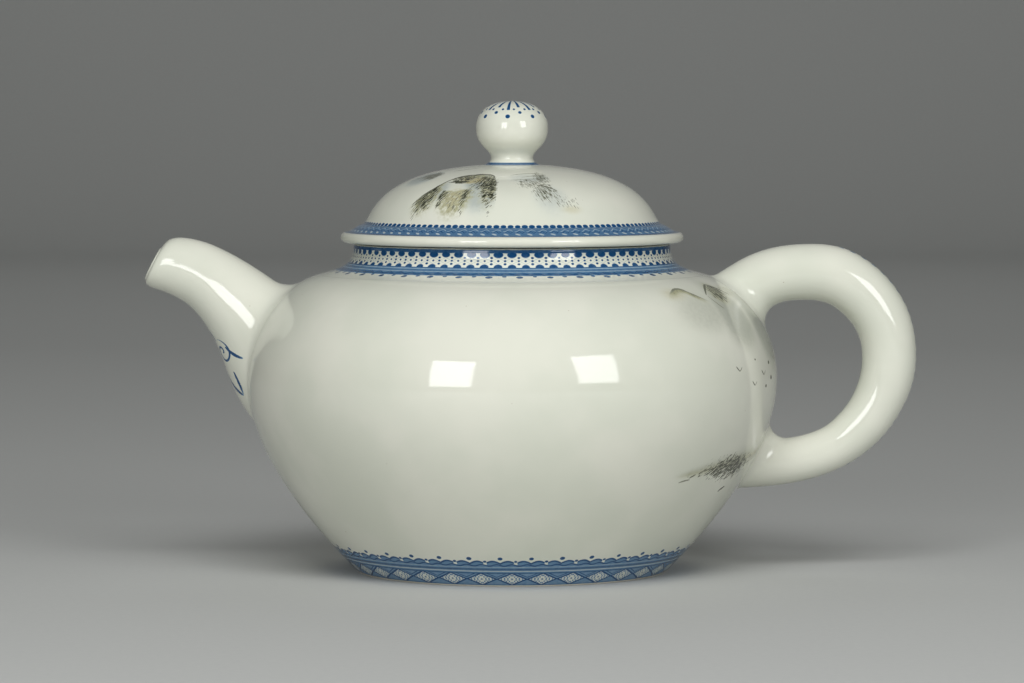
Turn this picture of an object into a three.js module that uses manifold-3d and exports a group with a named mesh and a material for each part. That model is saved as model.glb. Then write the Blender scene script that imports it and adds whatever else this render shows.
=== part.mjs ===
// A round porcelain teapot with a curved spout, an ear-shaped handle and a domed lid with a ball knob.
// Units are millimetres and +Z is up. The pieces are drawn around the turning axis, spout towards -X and
// handle towards +X, and the whole pot is then moved so that the middle of its box stands on the origin.
// A piece that touches another keeps the luting gap to it.

import * as THREE from 'three';
import { mergeVertices } from 'three/addons/utils/BufferGeometryUtils.js';
import Module from 'manifold-3d';

const wasm = await Module();
wasm.setup();

const LUTING_GAP = 0.3;

// Pot: the outer line runs from the table out to the belly and in again to the neck joint
const FOOT_RADIUS = 34.2;
const BELLY_RADIUS = 58.4;
const BELLY_HEIGHT = 42.8;
const SHOULDER_RADIUS = 42.3;
const SHOULDER_HEIGHT = 65.4;
const POT_WALL = 2.8;
const FOOT_SPREAD = THREE.MathUtils.degToRad(45);
const SHOULDER_SLOPE = THREE.MathUtils.degToRad(15);

// Foot ring and the floor above it
const FOOT_HEIGHT = 4.1;
const FOOT_WIDTH = 3.2;
const FOOT_CHAMFER = 0.4;
const BASE_RISE = 0.8;
const FLOOR_THICKNESS = 3.2;
const FLOOR_COVE = 1.6;

// Neck collar that the lid sits on
const NECK_RADIUS = 34.9;
const NECK_HEIGHT = 6.4;
const NECK_BORE_RADIUS = 31.4;
const COLLAR_EDGE = 0.25;
const LIP_ROUNDING = 0.4;

// Lid
const LID_RADIUS = 37.75;
const LID_RIM_HEIGHT = 2.25;
const LID_DOME_RADIUS = 33.2;
const LID_DOME_STEP = 1.65;
const LID_DOME_HEIGHT = 13.3;
const LID_DOME_TURN_IN = 2.8;
const LID_WALL = 2.8;
const FLANGE_CLEARANCE = 0.7;
const FLANGE_THICKNESS = 2.4;
const FLANGE_DEPTH = 7;
const VENT_RADIUS = 1.2;
const VENT_DISTANCE = 14;
const VENT_FACETS = 12;

// Knob
const KNOB_RADIUS = 7.95;
const KNOB_FOOT_RADIUS = 5.9;
const KNOB_STEM_RADIUS = 4.75;
const KNOB_STEM_HEIGHT = 1.45;
const KNOB_EQUATOR_HEIGHT = 7.75;
const KNOB_HEIGHT = 13.75;

// Spout: stations from the lip to inside the pot. Each gives the upper and the lower edge as the distance
// out from the belly and the height above the shoulder, then the half width and the wall.
const SPOUT_STATIONS = [
  { upper: [18.9, 5.6], lower: [22.6, -1.4], halfWidth: 3.9, wall: 0.9 },
  { upper: [16.2, 7.9], lower: [20.6, -3.1], halfWidth: 5.3, wall: 2 },
  { upper: [12.1, 7.8], lower: [16.8, -4.6], halfWidth: 6, wall: 2.3 },
  { upper: [5.6, 5.6], lower: [11.1, -8.6], halfWidth: 6.9, wall: 2.3 },
  { upper: [-0.9, 2], lower: [7, -14.6], halfWidth: 8.3, wall: 2.4 },
  { upper: [-6.9, -1.9], lower: [3.9, -22.7], halfWidth: 10.3, wall: 2.6 },
  { upper: [-11.9, -5.2], lower: [-0.4, -31.4], halfWidth: 12.4, wall: 2.8 },
  { upper: [-16.4, -8.4], lower: [-6.4, -38.4], halfWidth: 13.6, wall: 2.8 },
];

// Port through the pot's wall behind the spout, and the pierced dome over it
const PORT_RADIUS = 7;
const PORT_DRILL_LENGTH = 25;
const STRAINER_SEAT = 2.6;
const STRAINER_WALL = 2;
const STRAINER_HOLE_RADIUS = 1.1;
const STRAINER_RINGS = [
  { tilt: 0, holes: 1 },
  { tilt: 30, holes: 6 },
  { tilt: 57, holes: 9 },
];

// Handle: how far its centre line bows out from the belly, its radii and how it sits on the pot. Its ends
// are sunk into the pot and cut off there, and its crest pulls the line up between the top and the bow.
const HANDLE_BOW = 24.9;
const HANDLE_TOP_RADIUS = 6.3;
const HANDLE_BOW_RADIUS = 5.95;
const HANDLE_END_RADIUS = 4.8;
const HANDLE_FLARE = 1.4;
const HANDLE_TOP_DROP = 1.7;
const HANDLE_TOP_IN = 3.7;
const HANDLE_ROOT_IN = 12.4;
const HANDLE_ROOT_DROP = 8.5;
const HANDLE_CREST_OUT = 12.2;
const HANDLE_CREST_RISE = 6.5;
const HANDLE_BOW_RISE = 3.5;
const HANDLE_END_HEIGHT = 22.9;
const HANDLE_END_IN = 13.4;
const HANDLE_END_OUT = 3.6;
const HANDLE_FLARE_SHARE = 0.12;

// Facets round the pot, round the knob and round the spout and handle
const POT_FACETS = 48;
const KNOB_FACETS = 32;
const TUBE_FACETS = 20;

const point = (radius, height) => new THREE.Vector2(radius, height);
const place = (x, z) => new THREE.Vector3(x, 0, z);

// ---- Helpers: profiles ----

// The share of a rising profile curve at which it reaches a height
function shareAtHeight(curve, height) {
  let low = 0;
  let high = 1;
  while (high - low > 1e-6) {
    const middle = (low + high) / 2;
    if (curve.getPoint(middle).y < height) low = middle;
    else high = middle;
  }
  return low;
}

// Points along a profile curve between two shares, moved outwards by a distance (inwards when negative)
function profilePoints(curve, from, to, steps, outwards = 0) {
  return Array.from({ length: steps + 1 }, (_, i) => {
    const share = THREE.MathUtils.lerp(from, to, i / steps);
    const tangent = curve.getTangent(share);
    const normal = point(tangent.y, -tangent.x);
    return curve.getPoint(share).addScaledVector(normal, outwards);
  });
}

function turned(profile, facets) {
  return new THREE.LatheGeometry(profile, facets).rotateX(Math.PI / 2);
}

// ---- Helpers: solids ----

function solidOf(geometry) {
  const bare = geometry.clone();
  bare.deleteAttribute('normal');
  bare.deleteAttribute('uv');
  const merged = mergeVertices(bare);
  const corners = merged.index.array;
  const triVerts = [];
  for (let i = 0; i < corners.length; i += 3) {
    const [a, b, c] = corners.slice(i, i + 3);
    if (a !== b && b !== c && c !== a) triVerts.push(a, b, c);
  }
  const vertProperties = merged.attributes.position.array;
  return new wasm.Manifold(
    new wasm.Mesh({ numProp: 3, vertProperties, triVerts: new Uint32Array(triVerts) }),
  );
}

function geometryOf(solid) {
  const mesh = solid.getMesh();
  const geometry = new THREE.BufferGeometry();
  geometry.setAttribute('position', new THREE.BufferAttribute(mesh.vertProperties, 3));
  geometry.setIndex(new THREE.BufferAttribute(mesh.triVerts, 1));
  geometry.computeVertexNormals();
  return geometry;
}

// A bar with oval sections in the XZ plane. sectionAt(share of length) gives the section's centre, the
// vector from there to its upper edge and its half width.
function bar(steps, sectionAt) {
  const geometry = new THREE.CylinderGeometry(1, 1, 1, TUBE_FACETS, steps);
  const positions = geometry.attributes.position;
  for (let i = 0; i < positions.count; i++) {
    const { centre, rise, halfWidth } = sectionAt(positions.getY(i) + 0.5);
    const moved = centre.clone().addScaledVector(rise, positions.getX(i));
    positions.setXYZ(i, moved.x, moved.y + halfWidth * positions.getZ(i), moved.z);
  }
  return geometry;
}

// ---- Pot body ----

const flank = new THREE.CubicBezierCurve(
  point(FOOT_RADIUS, 0),
  point(
    FOOT_RADIUS + 0.36 * BELLY_HEIGHT * Math.sin(FOOT_SPREAD),
    0.36 * BELLY_HEIGHT * Math.cos(FOOT_SPREAD),
  ),
  point(BELLY_RADIUS, 0.63 * BELLY_HEIGHT),
  point(BELLY_RADIUS, BELLY_HEIGHT),
);
const shoulderRise = SHOULDER_HEIGHT - BELLY_HEIGHT;
const shoulder = new THREE.CubicBezierCurve(
  point(BELLY_RADIUS, BELLY_HEIGHT),
  point(BELLY_RADIUS, BELLY_HEIGHT + 0.46 * shoulderRise),
  point(
    SHOULDER_RADIUS + 0.43 * shoulderRise * Math.cos(SHOULDER_SLOPE),
    SHOULDER_HEIGHT - 0.43 * shoulderRise * Math.sin(SHOULDER_SLOPE),
  ),
  point(SHOULDER_RADIUS, SHOULDER_HEIGHT),
);
const floorTop = FOOT_HEIGHT + FLOOR_THICKNESS;

// The outer line of the pot from a height up to the neck joint, moved outwards by a distance
function outerLine(fromHeight, outwards, steps) {
  const start = shareAtHeight(flank, fromHeight);
  return [
    ...profilePoints(flank, start, 1, steps, outwards),
    ...profilePoints(shoulder, 0, 1, steps, outwards).slice(1),
  ];
}

// The inner line from the neck joint down to the middle of the floor, with a coved corner
function innerLine(inset, steps) {
  const line = outerLine(floorTop, -inset, steps).reverse();
  const cove = line.at(-1);
  const coveRadius = cove.x - (cove.y - floorTop) * FLOOR_COVE;
  return [...line, point(coveRadius, floorTop), point(0, floorTop)];
}

function potBody() {
  const profile = [
    point(0, FOOT_HEIGHT + BASE_RISE),
    point(FOOT_RADIUS - FOOT_WIDTH, FOOT_HEIGHT),
    ...outerLine(FOOT_HEIGHT, 0, 8),
    point(NECK_BORE_RADIUS, SHOULDER_HEIGHT),
    point(NECK_BORE_RADIUS, SHOULDER_HEIGHT - POT_WALL),
    ...innerLine(POT_WALL, 6),
  ];
  return geometryOf(solidOf(turned(profile, POT_FACETS)).subtract(portDrill()));
}

// The pot's outside as a full solid, larger all round by the luting gap: what sits against it is cut by it
function potOutside() {
  const line = outerLine(0, LUTING_GAP, 8);
  return solidOf(turned([point(0, 0), ...line, point(0, line.at(-1).y)], POT_FACETS));
}

// The pot's inside as a full solid, smaller all round by the luting gap
function potInside() {
  const line = innerLine(POT_WALL + LUTING_GAP, 6);
  return solidOf(turned([point(0, line[0].y), ...line].reverse(), POT_FACETS));
}

// ---- Foot ring and neck collar ----

function footRing() {
  const top = FOOT_HEIGHT - LUTING_GAP;
  const inner = FOOT_RADIUS - FOOT_WIDTH;
  const profile = [
    point(inner + FOOT_CHAMFER, 0),
    point(FOOT_RADIUS - FOOT_CHAMFER, 0),
    ...profilePoints(flank, shareAtHeight(flank, FOOT_CHAMFER), shareAtHeight(flank, top), 3),
    point(inner, top),
    point(inner, FOOT_CHAMFER),
    point(inner + FOOT_CHAMFER, 0),
  ];
  return turned(profile, POT_FACETS);
}

const collarBase = SHOULDER_HEIGHT + LUTING_GAP;
const neckTop = collarBase + NECK_HEIGHT;

function neckCollar() {
  const lipHeight = neckTop - LIP_ROUNDING;
  const slope = SHOULDER_SLOPE;
  const sweep = new THREE.CubicBezierCurve(
    point(SHOULDER_RADIUS, collarBase + COLLAR_EDGE),
    point(
      SHOULDER_RADIUS - 0.77 * NECK_HEIGHT * Math.cos(slope),
      collarBase + 0.77 * NECK_HEIGHT * Math.sin(slope),
    ),
    point(NECK_RADIUS, neckTop - 0.72 * NECK_HEIGHT),
    point(NECK_RADIUS, lipHeight),
  );
  const profile = [
    point(NECK_BORE_RADIUS, collarBase),
    point(SHOULDER_RADIUS, collarBase),
    ...profilePoints(sweep, 0, 1, 6),
    point(NECK_RADIUS - LIP_ROUNDING, neckTop),
    point(NECK_BORE_RADIUS + LIP_ROUNDING, neckTop),
    point(NECK_BORE_RADIUS, lipHeight),
    point(NECK_BORE_RADIUS, collarBase),
  ];
  return turned(profile, POT_FACETS);
}

// ---- Lid ----

const lidBase = neckTop + LUTING_GAP;
const domeBase = lidBase + LID_RIM_HEIGHT + LID_DOME_STEP;
const lidCrown = domeBase + LID_DOME_HEIGHT;
const flangeOuterRadius = NECK_BORE_RADIUS - FLANGE_CLEARANCE;
const flangeInnerRadius = flangeOuterRadius - FLANGE_THICKNESS;
const dome = new THREE.CubicBezierCurve(
  point(LID_DOME_RADIUS, domeBase),
  point(LID_DOME_RADIUS - LID_DOME_TURN_IN, domeBase + 0.5),
  point(LID_DOME_RADIUS - 1, lidCrown),
  point(0, lidCrown),
);

// The share of the dome curve at which its radius has shrunk to the seat of the knob
function shareAtKnobSeat() {
  let share = 1;
  while (dome.getPoint(share).x < KNOB_FOOT_RADIUS + LUTING_GAP) share -= 0.001;
  return share;
}
const seatShare = shareAtKnobSeat();
const knobSeat = dome.getPoint(seatShare).y;

function lidDome() {
  const rimRounding = LID_RIM_HEIGHT / 2;
  const rim = new THREE.EllipseCurve(
    LID_RADIUS - rimRounding,
    lidBase + rimRounding,
    rimRounding,
    rimRounding,
    -Math.PI / 2,
    Math.PI / 2,
  );
  const inside = profilePoints(dome, 0.25, seatShare, 7, -LID_WALL).reverse();
  const profile = [
    point(flangeInnerRadius, lidBase),
    ...rim.getPoints(6),
    ...profilePoints(dome, 0, seatShare, 11),
    point(0, knobSeat),
    point(0, inside[0].y),
    ...inside,
    point(flangeInnerRadius, inside.at(-1).y - LID_WALL / 2),
    point(flangeInnerRadius, lidBase),
  ];
  const vent = new THREE.CylinderGeometry(VENT_RADIUS, VENT_RADIUS, LID_DOME_HEIGHT, VENT_FACETS);
  vent.rotateX(Math.PI / 2).translate(0, VENT_DISTANCE, lidCrown);
  return geometryOf(solidOf(turned(profile, POT_FACETS)).subtract(solidOf(vent)));
}

function lidFlange() {
  const top = lidBase - LUTING_GAP;
  const bottom = top - FLANGE_DEPTH;
  const rounding = FLANGE_THICKNESS / 3;
  const profile = [
    point(flangeInnerRadius + rounding, bottom),
    point(flangeOuterRadius - rounding, bottom),
    point(flangeOuterRadius, bottom + rounding),
    point(flangeOuterRadius, top),
    point(flangeInnerRadius, top),
    point(flangeInnerRadius, bottom + rounding),
    point(flangeInnerRadius + rounding, bottom),
  ];
  return turned(profile, POT_FACETS);
}

function knob() {
  const base = knobSeat + LUTING_GAP;
  const stem = base + KNOB_STEM_HEIGHT;
  const equator = base + KNOB_EQUATOR_HEIGHT;
  const top = base + KNOB_HEIGHT;
  const foot = new THREE.QuadraticBezierCurve(
    point(KNOB_FOOT_RADIUS, base),
    point(KNOB_STEM_RADIUS, base + 0.25 * KNOB_STEM_HEIGHT),
    point(KNOB_STEM_RADIUS, stem),
  );
  const underside = new THREE.CubicBezierCurve(
    point(KNOB_STEM_RADIUS, stem),
    point(KNOB_STEM_RADIUS, stem + 0.3 * (equator - stem)),
    point(KNOB_RADIUS, stem + 0.45 * (equator - stem)),
    point(KNOB_RADIUS, equator),
  );
  const crown = new THREE.CubicBezierCurve(
    point(KNOB_RADIUS, equator),
    point(KNOB_RADIUS, equator + 0.6 * (top - equator)),
    point(0.55 * KNOB_RADIUS, top),
    point(0, top),
  );
  const profile = [
    point(0, base),
    ...foot.getPoints(3),
    ...underside.getPoints(6).slice(1),
    ...crown.getPoints(7).slice(1),
  ];
  return turned(profile, KNOB_FACETS);
}

// ---- Spout and strainer ----

const spoutPlace = ([out, up]) => place(-(BELLY_RADIUS + out), SHOULDER_HEIGHT + up);
const spoutUpper = new THREE.CatmullRomCurve3(SPOUT_STATIONS.map(({ upper }) => spoutPlace(upper)));
const spoutLower = new THREE.CatmullRomCurve3(SPOUT_STATIONS.map(({ lower }) => spoutPlace(lower)));
const spoutSizes = new THREE.CatmullRomCurve3(
  SPOUT_STATIONS.map(({ halfWidth, wall }) => new THREE.Vector3(halfWidth, wall, 0)),
);

function spoutSection(share) {
  const upper = spoutUpper.getPoint(share);
  const lower = spoutLower.getPoint(share);
  return {
    centre: upper.clone().lerp(lower, 0.5),
    rise: upper.clone().sub(lower).multiplyScalar(0.5),
    halfWidth: spoutSizes.getPoint(share).x,
  };
}

// The same section less the wall. The first step runs out past the lip, so that the mouth is open.
function boreSection(share) {
  const { centre, rise, halfWidth } = spoutSection(share);
  const wall = spoutSizes.getPoint(share).y;
  if (share === 0) centre.lerp(spoutSection(0.1).centre, -1);
  rise.setLength(rise.length() - wall);
  return { centre, rise, halfWidth: halfWidth - wall };
}

function spout() {
  return geometryOf(
    solidOf(bar(21, spoutSection)).subtract(solidOf(bar(14, boreSection))).subtract(potOutside()),
  );
}

// The place where the middle of the spout meets the outside of the pot
function portCentre() {
  let share = 0.5;
  let { centre } = spoutSection(share);
  const radiusAt = (height) => shoulder.getPoint(shareAtHeight(shoulder, height)).x;
  while (-centre.x > radiusAt(centre.z)) {
    share += 0.005;
    ({ centre } = spoutSection(share));
  }
  return centre;
}
const port = portCentre();

function portDrill() {
  const drill = new THREE.CylinderGeometry(PORT_RADIUS, PORT_RADIUS, PORT_DRILL_LENGTH, TUBE_FACETS);
  return solidOf(drill.rotateZ(Math.PI / 2).translate(port.x, 0, port.z));
}

function strainer() {
  const radius = PORT_RADIUS + STRAINER_SEAT;
  const seat = port.x + POT_WALL;
  const ball = (size) =>
    solidOf(new THREE.SphereGeometry(size, TUBE_FACETS, 12).translate(seat, 0, port.z));
  let dome = ball(radius).subtract(ball(radius - STRAINER_WALL)).intersect(potInside());
  for (const { tilt, holes } of STRAINER_RINGS) {
    for (let i = 0; i < holes; i++) {
      const hole = new THREE.CylinderGeometry(STRAINER_HOLE_RADIUS, STRAINER_HOLE_RADIUS, radius, 8);
      hole.rotateZ(-Math.PI / 2).translate(radius, 0, 0);
      hole.rotateY(THREE.MathUtils.degToRad(tilt)).rotateX((2 * Math.PI * i) / holes);
      dome = dome.subtract(solidOf(hole.translate(seat, 0, port.z)));
    }
  }
  return geometryOf(dome);
}

// ---- Handle ----

const handlePlace = (out, height) => place(BELLY_RADIUS + out, height);

// The handle's centre line: up out of the shoulder, over to the bow and back down into the belly
function handlePath() {
  const top = SHOULDER_HEIGHT - HANDLE_TOP_DROP;
  const middle = (top + HANDLE_END_HEIGHT) / 2 + HANDLE_BOW_RISE;
  const start = handlePlace(-HANDLE_TOP_IN, top);
  const bow = handlePlace(HANDLE_BOW, middle);
  const root = new THREE.CubicBezierCurve3(
    handlePlace(-HANDLE_ROOT_IN, top - HANDLE_ROOT_DROP),
    handlePlace(-HANDLE_ROOT_IN + 2.5, top - 0.6 * HANDLE_ROOT_DROP),
    handlePlace(-2 * HANDLE_TOP_IN, top - 0.2 * HANDLE_ROOT_DROP),
    start,
  );
  const crest = new THREE.CubicBezierCurve3(
    start,
    handlePlace(HANDLE_CREST_OUT, top + HANDLE_CREST_RISE),
    handlePlace(HANDLE_BOW, middle + 0.73 * (top - middle + HANDLE_BOW_RISE)),
    bow,
  );
  const tail = new THREE.CubicBezierCurve3(
    bow,
    handlePlace(HANDLE_BOW, middle - 0.89 * (middle - HANDLE_END_HEIGHT)),
    handlePlace(HANDLE_END_OUT, HANDLE_END_HEIGHT - 0.6),
    handlePlace(-HANDLE_END_IN, HANDLE_END_HEIGHT),
  );
  const path = new THREE.CurvePath();
  path.curves.push(root, crest, tail);
  return path;
}

// The handle thins evenly to its lower end and flares where it leaves the pot
function handleRadius(share) {
  const half = share < 0.5 ? share * 2 : share * 2 - 1;
  const from = share < 0.5 ? HANDLE_TOP_RADIUS : HANDLE_BOW_RADIUS;
  const to = share < 0.5 ? HANDLE_BOW_RADIUS : HANDLE_END_RADIUS;
  const nearEnd = Math.max(0, 1 - Math.min(share, 1 - share) / HANDLE_FLARE_SHARE);
  return THREE.MathUtils.lerp(from, to, half) + HANDLE_FLARE * nearEnd ** 2;
}

function handle() {
  const path = handlePath();
  const side = new THREE.Vector3(0, 1, 0);
  const sectionAt = (share) => ({
    centre: path.getPointAt(share),
    rise: path.getTangentAt(share).cross(side).multiplyScalar(handleRadius(share)),
    halfWidth: handleRadius(share),
  });
  return geometryOf(solidOf(bar(34, sectionAt)).subtract(potOutside()));
}

// ---- Assembly ----

function porcelain(colour, roughness) {
  return new THREE.MeshStandardMaterial({ color: colour, roughness, metalness: 0 });
}

function piece(name, geometry, material) {
  const mesh = new THREE.Mesh(geometry, material);
  mesh.name = name;
  return mesh;
}

const pot = new THREE.Group();
pot.add(
  piece('pot_body', potBody(), porcelain(0xdfe2d6, 0.12)),
  piece('foot_ring', footRing(), porcelain(0xc8d2da, 0.2)),
  piece('neck_collar', neckCollar(), porcelain(0xb8c8dc, 0.12)),
  piece('strainer', strainer(), porcelain(0xdfe2d6, 0.2)),
  piece('spout', spout(), porcelain(0xe2e4d9, 0.12)),
  piece('handle', handle(), porcelain(0xe2e4d9, 0.12)),
);

const lid = new THREE.Group();
lid.add(
  piece('lid_dome', lidDome(), porcelain(0xe1e3d7, 0.12)),
  piece('lid_flange', lidFlange(), porcelain(0xd9dacd, 0.3)),
  piece('knob', knob(), porcelain(0xe1e3d7, 0.12)),
);

const teapot = new THREE.Group();
teapot.add(pot, lid);
const box = new THREE.Box3().setFromObject(teapot, true);
teapot.position.x = -(box.min.x + box.max.x) / 2;

export default teapot;
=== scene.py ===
# %% [markdown]
# # A blue-and-white porcelain teapot
# The pot was measured and packed first, as plain solids that keep its true size and its moving lid.
# This lesson loads those solids as a fixed frame and makes the fine surface on top of them: smooth thrown
# walls, luted joints that flow into each other, a very glossy glaze, blue borders and an ink landscape.
# Lengths in the helpers are in millimetres, as a potter would give them, and MM turns them into metres.

import math

import bmesh
import bpy
import numpy as np
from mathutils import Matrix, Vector


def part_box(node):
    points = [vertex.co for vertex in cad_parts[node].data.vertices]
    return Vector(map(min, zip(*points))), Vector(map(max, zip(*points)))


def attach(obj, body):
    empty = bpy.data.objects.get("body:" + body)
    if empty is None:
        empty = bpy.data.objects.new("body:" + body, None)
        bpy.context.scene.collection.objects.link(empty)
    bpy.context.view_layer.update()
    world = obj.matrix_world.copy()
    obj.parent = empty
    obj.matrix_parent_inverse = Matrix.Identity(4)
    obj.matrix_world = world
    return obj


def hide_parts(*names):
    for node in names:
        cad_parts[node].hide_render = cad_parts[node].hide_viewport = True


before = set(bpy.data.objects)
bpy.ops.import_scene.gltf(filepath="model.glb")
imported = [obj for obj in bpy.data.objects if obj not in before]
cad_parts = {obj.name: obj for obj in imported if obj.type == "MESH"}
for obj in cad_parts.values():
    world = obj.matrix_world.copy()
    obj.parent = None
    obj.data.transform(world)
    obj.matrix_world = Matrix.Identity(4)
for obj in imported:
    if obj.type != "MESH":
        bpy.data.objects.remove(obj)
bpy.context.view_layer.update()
MM = 0.001
foot_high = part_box("foot_ring")[1]
neck_low, neck_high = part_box("neck_collar")
AXIS = (neck_low.x + neck_high.x) / 2 / MM
print("turning axis at x =", round(AXIS, 2), "mm")

# %% [markdown]
# ## The camera
# A small object is best taken from almost a metre away with a long lens, so that the round belly keeps its
# true outline. The camera stands straight in front of the turning axis, at the height of the knob, and
# looks down a little.

# %% Set up the camera
CAMERA_DISTANCE = 937
CAMERA_HEIGHT = 103.65
CAMERA_PITCH = 3.25
LENS = 149.6

camera_data = bpy.data.cameras.new("camera")
camera_data.lens = LENS
camera_data.sensor_width = 36
camera_data.clip_start = 0.05
camera = bpy.data.objects.new("camera", camera_data)
camera.location = (AXIS * MM, -CAMERA_DISTANCE * MM, CAMERA_HEIGHT * MM)
camera.rotation_euler = (math.radians(90 - CAMERA_PITCH), 0, 0)
bpy.context.scene.collection.objects.link(camera)
bpy.context.scene.camera = camera
print("camera", tuple(round(v, 4) for v in camera.location))

# %% [markdown]
# ## Turned pieces
# The body, foot, neck, lid and knob are all thrown or trimmed on a wheel, so each is one outline spun round
# the turning axis. A Screw modifier could do it, but a small mesh function is as short and puts each ring
# exactly where it should be. The outlines are Bezier curves, because a wall pulled up by hand bends evenly.


# %% Helpers for outlines
def bezier(a, b, c, d, steps):
    """Points of a cubic Bezier curve from a to d."""
    t = np.linspace(0, 1, steps + 1)[:, None]
    a, b, c, d = (np.array(p, float) for p in (a, b, c, d))
    return (1 - t) ** 3 * a + 3 * t * (1 - t) ** 2 * b + 3 * t**2 * (1 - t) * c + t**3 * d


def arc(centre, radius, start, end, steps):
    """Points of an arc, with its angles in degrees."""
    angle = np.radians(np.linspace(start, end, steps + 1))
    return np.array(centre) + radius * np.stack([np.cos(angle), np.sin(angle)], 1)


def smooth_line(points, steps):
    """An even Catmull-Rom line through a few points, with any number of columns."""
    points = np.array(points, float)
    padded = np.vstack([2 * points[0] - points[1], points, 2 * points[-1] - points[-2]])
    share = np.linspace(0, len(points) - 1, steps + 1)
    i = np.minimum(share.astype(int), len(points) - 2)
    t = (share - i)[:, None]
    p0, p1, p2, p3 = (padded[i + k] for k in range(4))
    bend = 2 * p0 - 5 * p1 + 4 * p2 - p3
    twist = 3 * p1 - p0 - 3 * p2 + p3
    return p1 + 0.5 * t * (p2 - p0 + t * (bend + t * twist))


def moved_in(line, distance):
    """A line of (radius, height) points moved to the left of its run, which is inwards for a rising wall."""
    run = np.gradient(line, axis=0)
    run /= np.linalg.norm(run, axis=1)[:, None]
    return line + distance * np.stack([-run[:, 1], run[:, 0]], 1)


# %% A helper that turns an outline
CREASE_ANGLE = 50


def object_from(name, vertices, faces):
    """A smooth-shaded mesh object from points in millimetres, with its faces turned outwards."""
    mesh = bpy.data.meshes.new(name)
    work = bmesh.new()
    corners = [work.verts.new(Vector(v) * MM) for v in vertices]
    for face in faces:
        work.faces.new([corners[i] for i in face])
    bmesh.ops.remove_doubles(work, verts=work.verts, dist=1e-7)
    bmesh.ops.dissolve_degenerate(work, edges=work.edges, dist=1e-8)
    bmesh.ops.recalc_face_normals(work, faces=work.faces)
    for face in work.faces:
        face.smooth = True
    work.to_mesh(mesh)
    work.free()
    mesh.set_sharp_from_angle(angle=math.radians(CREASE_ANGLE))
    made = bpy.data.objects.new(name, mesh)
    bpy.context.scene.collection.objects.link(made)
    return made


def skin(rings):
    """The points and the faces of a sleeve that joins rings of points, each to the next."""
    sides = len(rings[0])
    faces = [
        (i * sides + j, i * sides + (j + 1) % sides, (i + 1) * sides + (j + 1) % sides, (i + 1) * sides + j)
        for i in range(len(rings) - 1)
        for j in range(sides)
    ]
    return np.vstack(rings), faces


def around(sides):
    """Even angles round a full turn."""
    return 2 * np.pi * np.arange(sides) / sides


def turned(name, *runs, sides=256):
    """Spins an outline, given as runs of (radius, height) points, round the turning axis."""
    angle = around(sides)
    rings = [
        np.stack([AXIS + radius * np.cos(angle), radius * np.sin(angle), np.full(sides, height)], 1)
        for radius, height in np.vstack(runs)
    ]
    return object_from(name, *skin(rings))


# %% [markdown]
# ## The body
# The body is a thin shell: a flank that rises from the foot at forty-five degrees, a belly, and a shoulder
# that closes in to the neck. The inside follows the outside one wall thickness in, and ends in a coved floor.
# The foot ring and the neck are luted on with slip and glazed over, so their outlines carry on from the
# body's and share its slope at the joint: the eye then sees one skin.

# %% The body's outline
FOOT_RADIUS = 34.2
BELLY_RADIUS = 58.4
BELLY_HEIGHT = 42.8
SHOULDER_RADIUS = (neck_high.x - neck_low.x) / 2 / MM
SHOULDER_HEIGHT = 65.4
WALL = 2.8
FOOT_JOINT = foot_high.z / MM + 0.15
FOOT_INNER = 31.0
BORE = 31.4

spread = 0.36 * BELLY_HEIGHT * math.sqrt(0.5)
belly_side = (BELLY_RADIUS, BELLY_HEIGHT)
flank = bezier(
    (FOOT_RADIUS, 0), (FOOT_RADIUS + spread, spread), (BELLY_RADIUS, 0.63 * BELLY_HEIGHT), belly_side, 90
)
rise = SHOULDER_HEIGHT - BELLY_HEIGHT
slope = math.radians(15)
shoulder_pull = (
    SHOULDER_RADIUS + 0.43 * rise * math.cos(slope),
    SHOULDER_HEIGHT - 0.43 * rise * math.sin(slope),
)
shoulder_edge = (SHOULDER_RADIUS, SHOULDER_HEIGHT)
shoulder = bezier(belly_side, (BELLY_RADIUS, BELLY_HEIGHT + 0.46 * rise), shoulder_pull, shoulder_edge, 60)
body_line = np.vstack([flank, shoulder[1:]])
joint_radius = np.interp(FOOT_JOINT, flank[:, 1], flank[:, 0])
body_wall = np.vstack([[joint_radius, FOOT_JOINT], body_line[body_line[:, 1] > FOOT_JOINT + 0.1]])
print("body outline has", len(body_wall), "points")

# %% Turn the body
FLOOR_TOP = 7.3
BORE_EDGE = 64.8
inner_wall = moved_in(body_line, WALL)
inner_wall = inner_wall[inner_wall[:, 1] > FLOOR_TOP + 3][::-2]
cove_start = inner_wall[-1]
floor_cove = bezier(
    cove_start, cove_start - (2.2, 2.2), (cove_start[0] - 8, FLOOR_TOP), (cove_start[0] - 14, FLOOR_TOP), 12
)
neck_seat = [
    (SHOULDER_RADIUS - 0.5, SHOULDER_HEIGHT),
    (BORE + 0.2, SHOULDER_HEIGHT),
    (BORE + 0.2, BORE_EDGE + 0.1),
    (BORE, BORE_EDGE),
    (BORE, 63),
]
body = turned(
    "pot_body_glazed",
    [(0, 4.9), (FOOT_INNER, 4.1)],
    body_wall,
    neck_seat,
    inner_wall[inner_wall[:, 1] < 62.5],
    floor_cove[1:],
    [(0, FLOOR_TOP)],
)
print("body mesh", len(body.data.vertices), "points")

# %% [markdown]
# ## The foot ring and the neck
# The foot is trimmed to a narrow ring with a small bevel where it meets the table. The neck sweeps up from
# the shoulder in a hollow curve and ends in a rounded lip, which the lid sits on.

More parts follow.
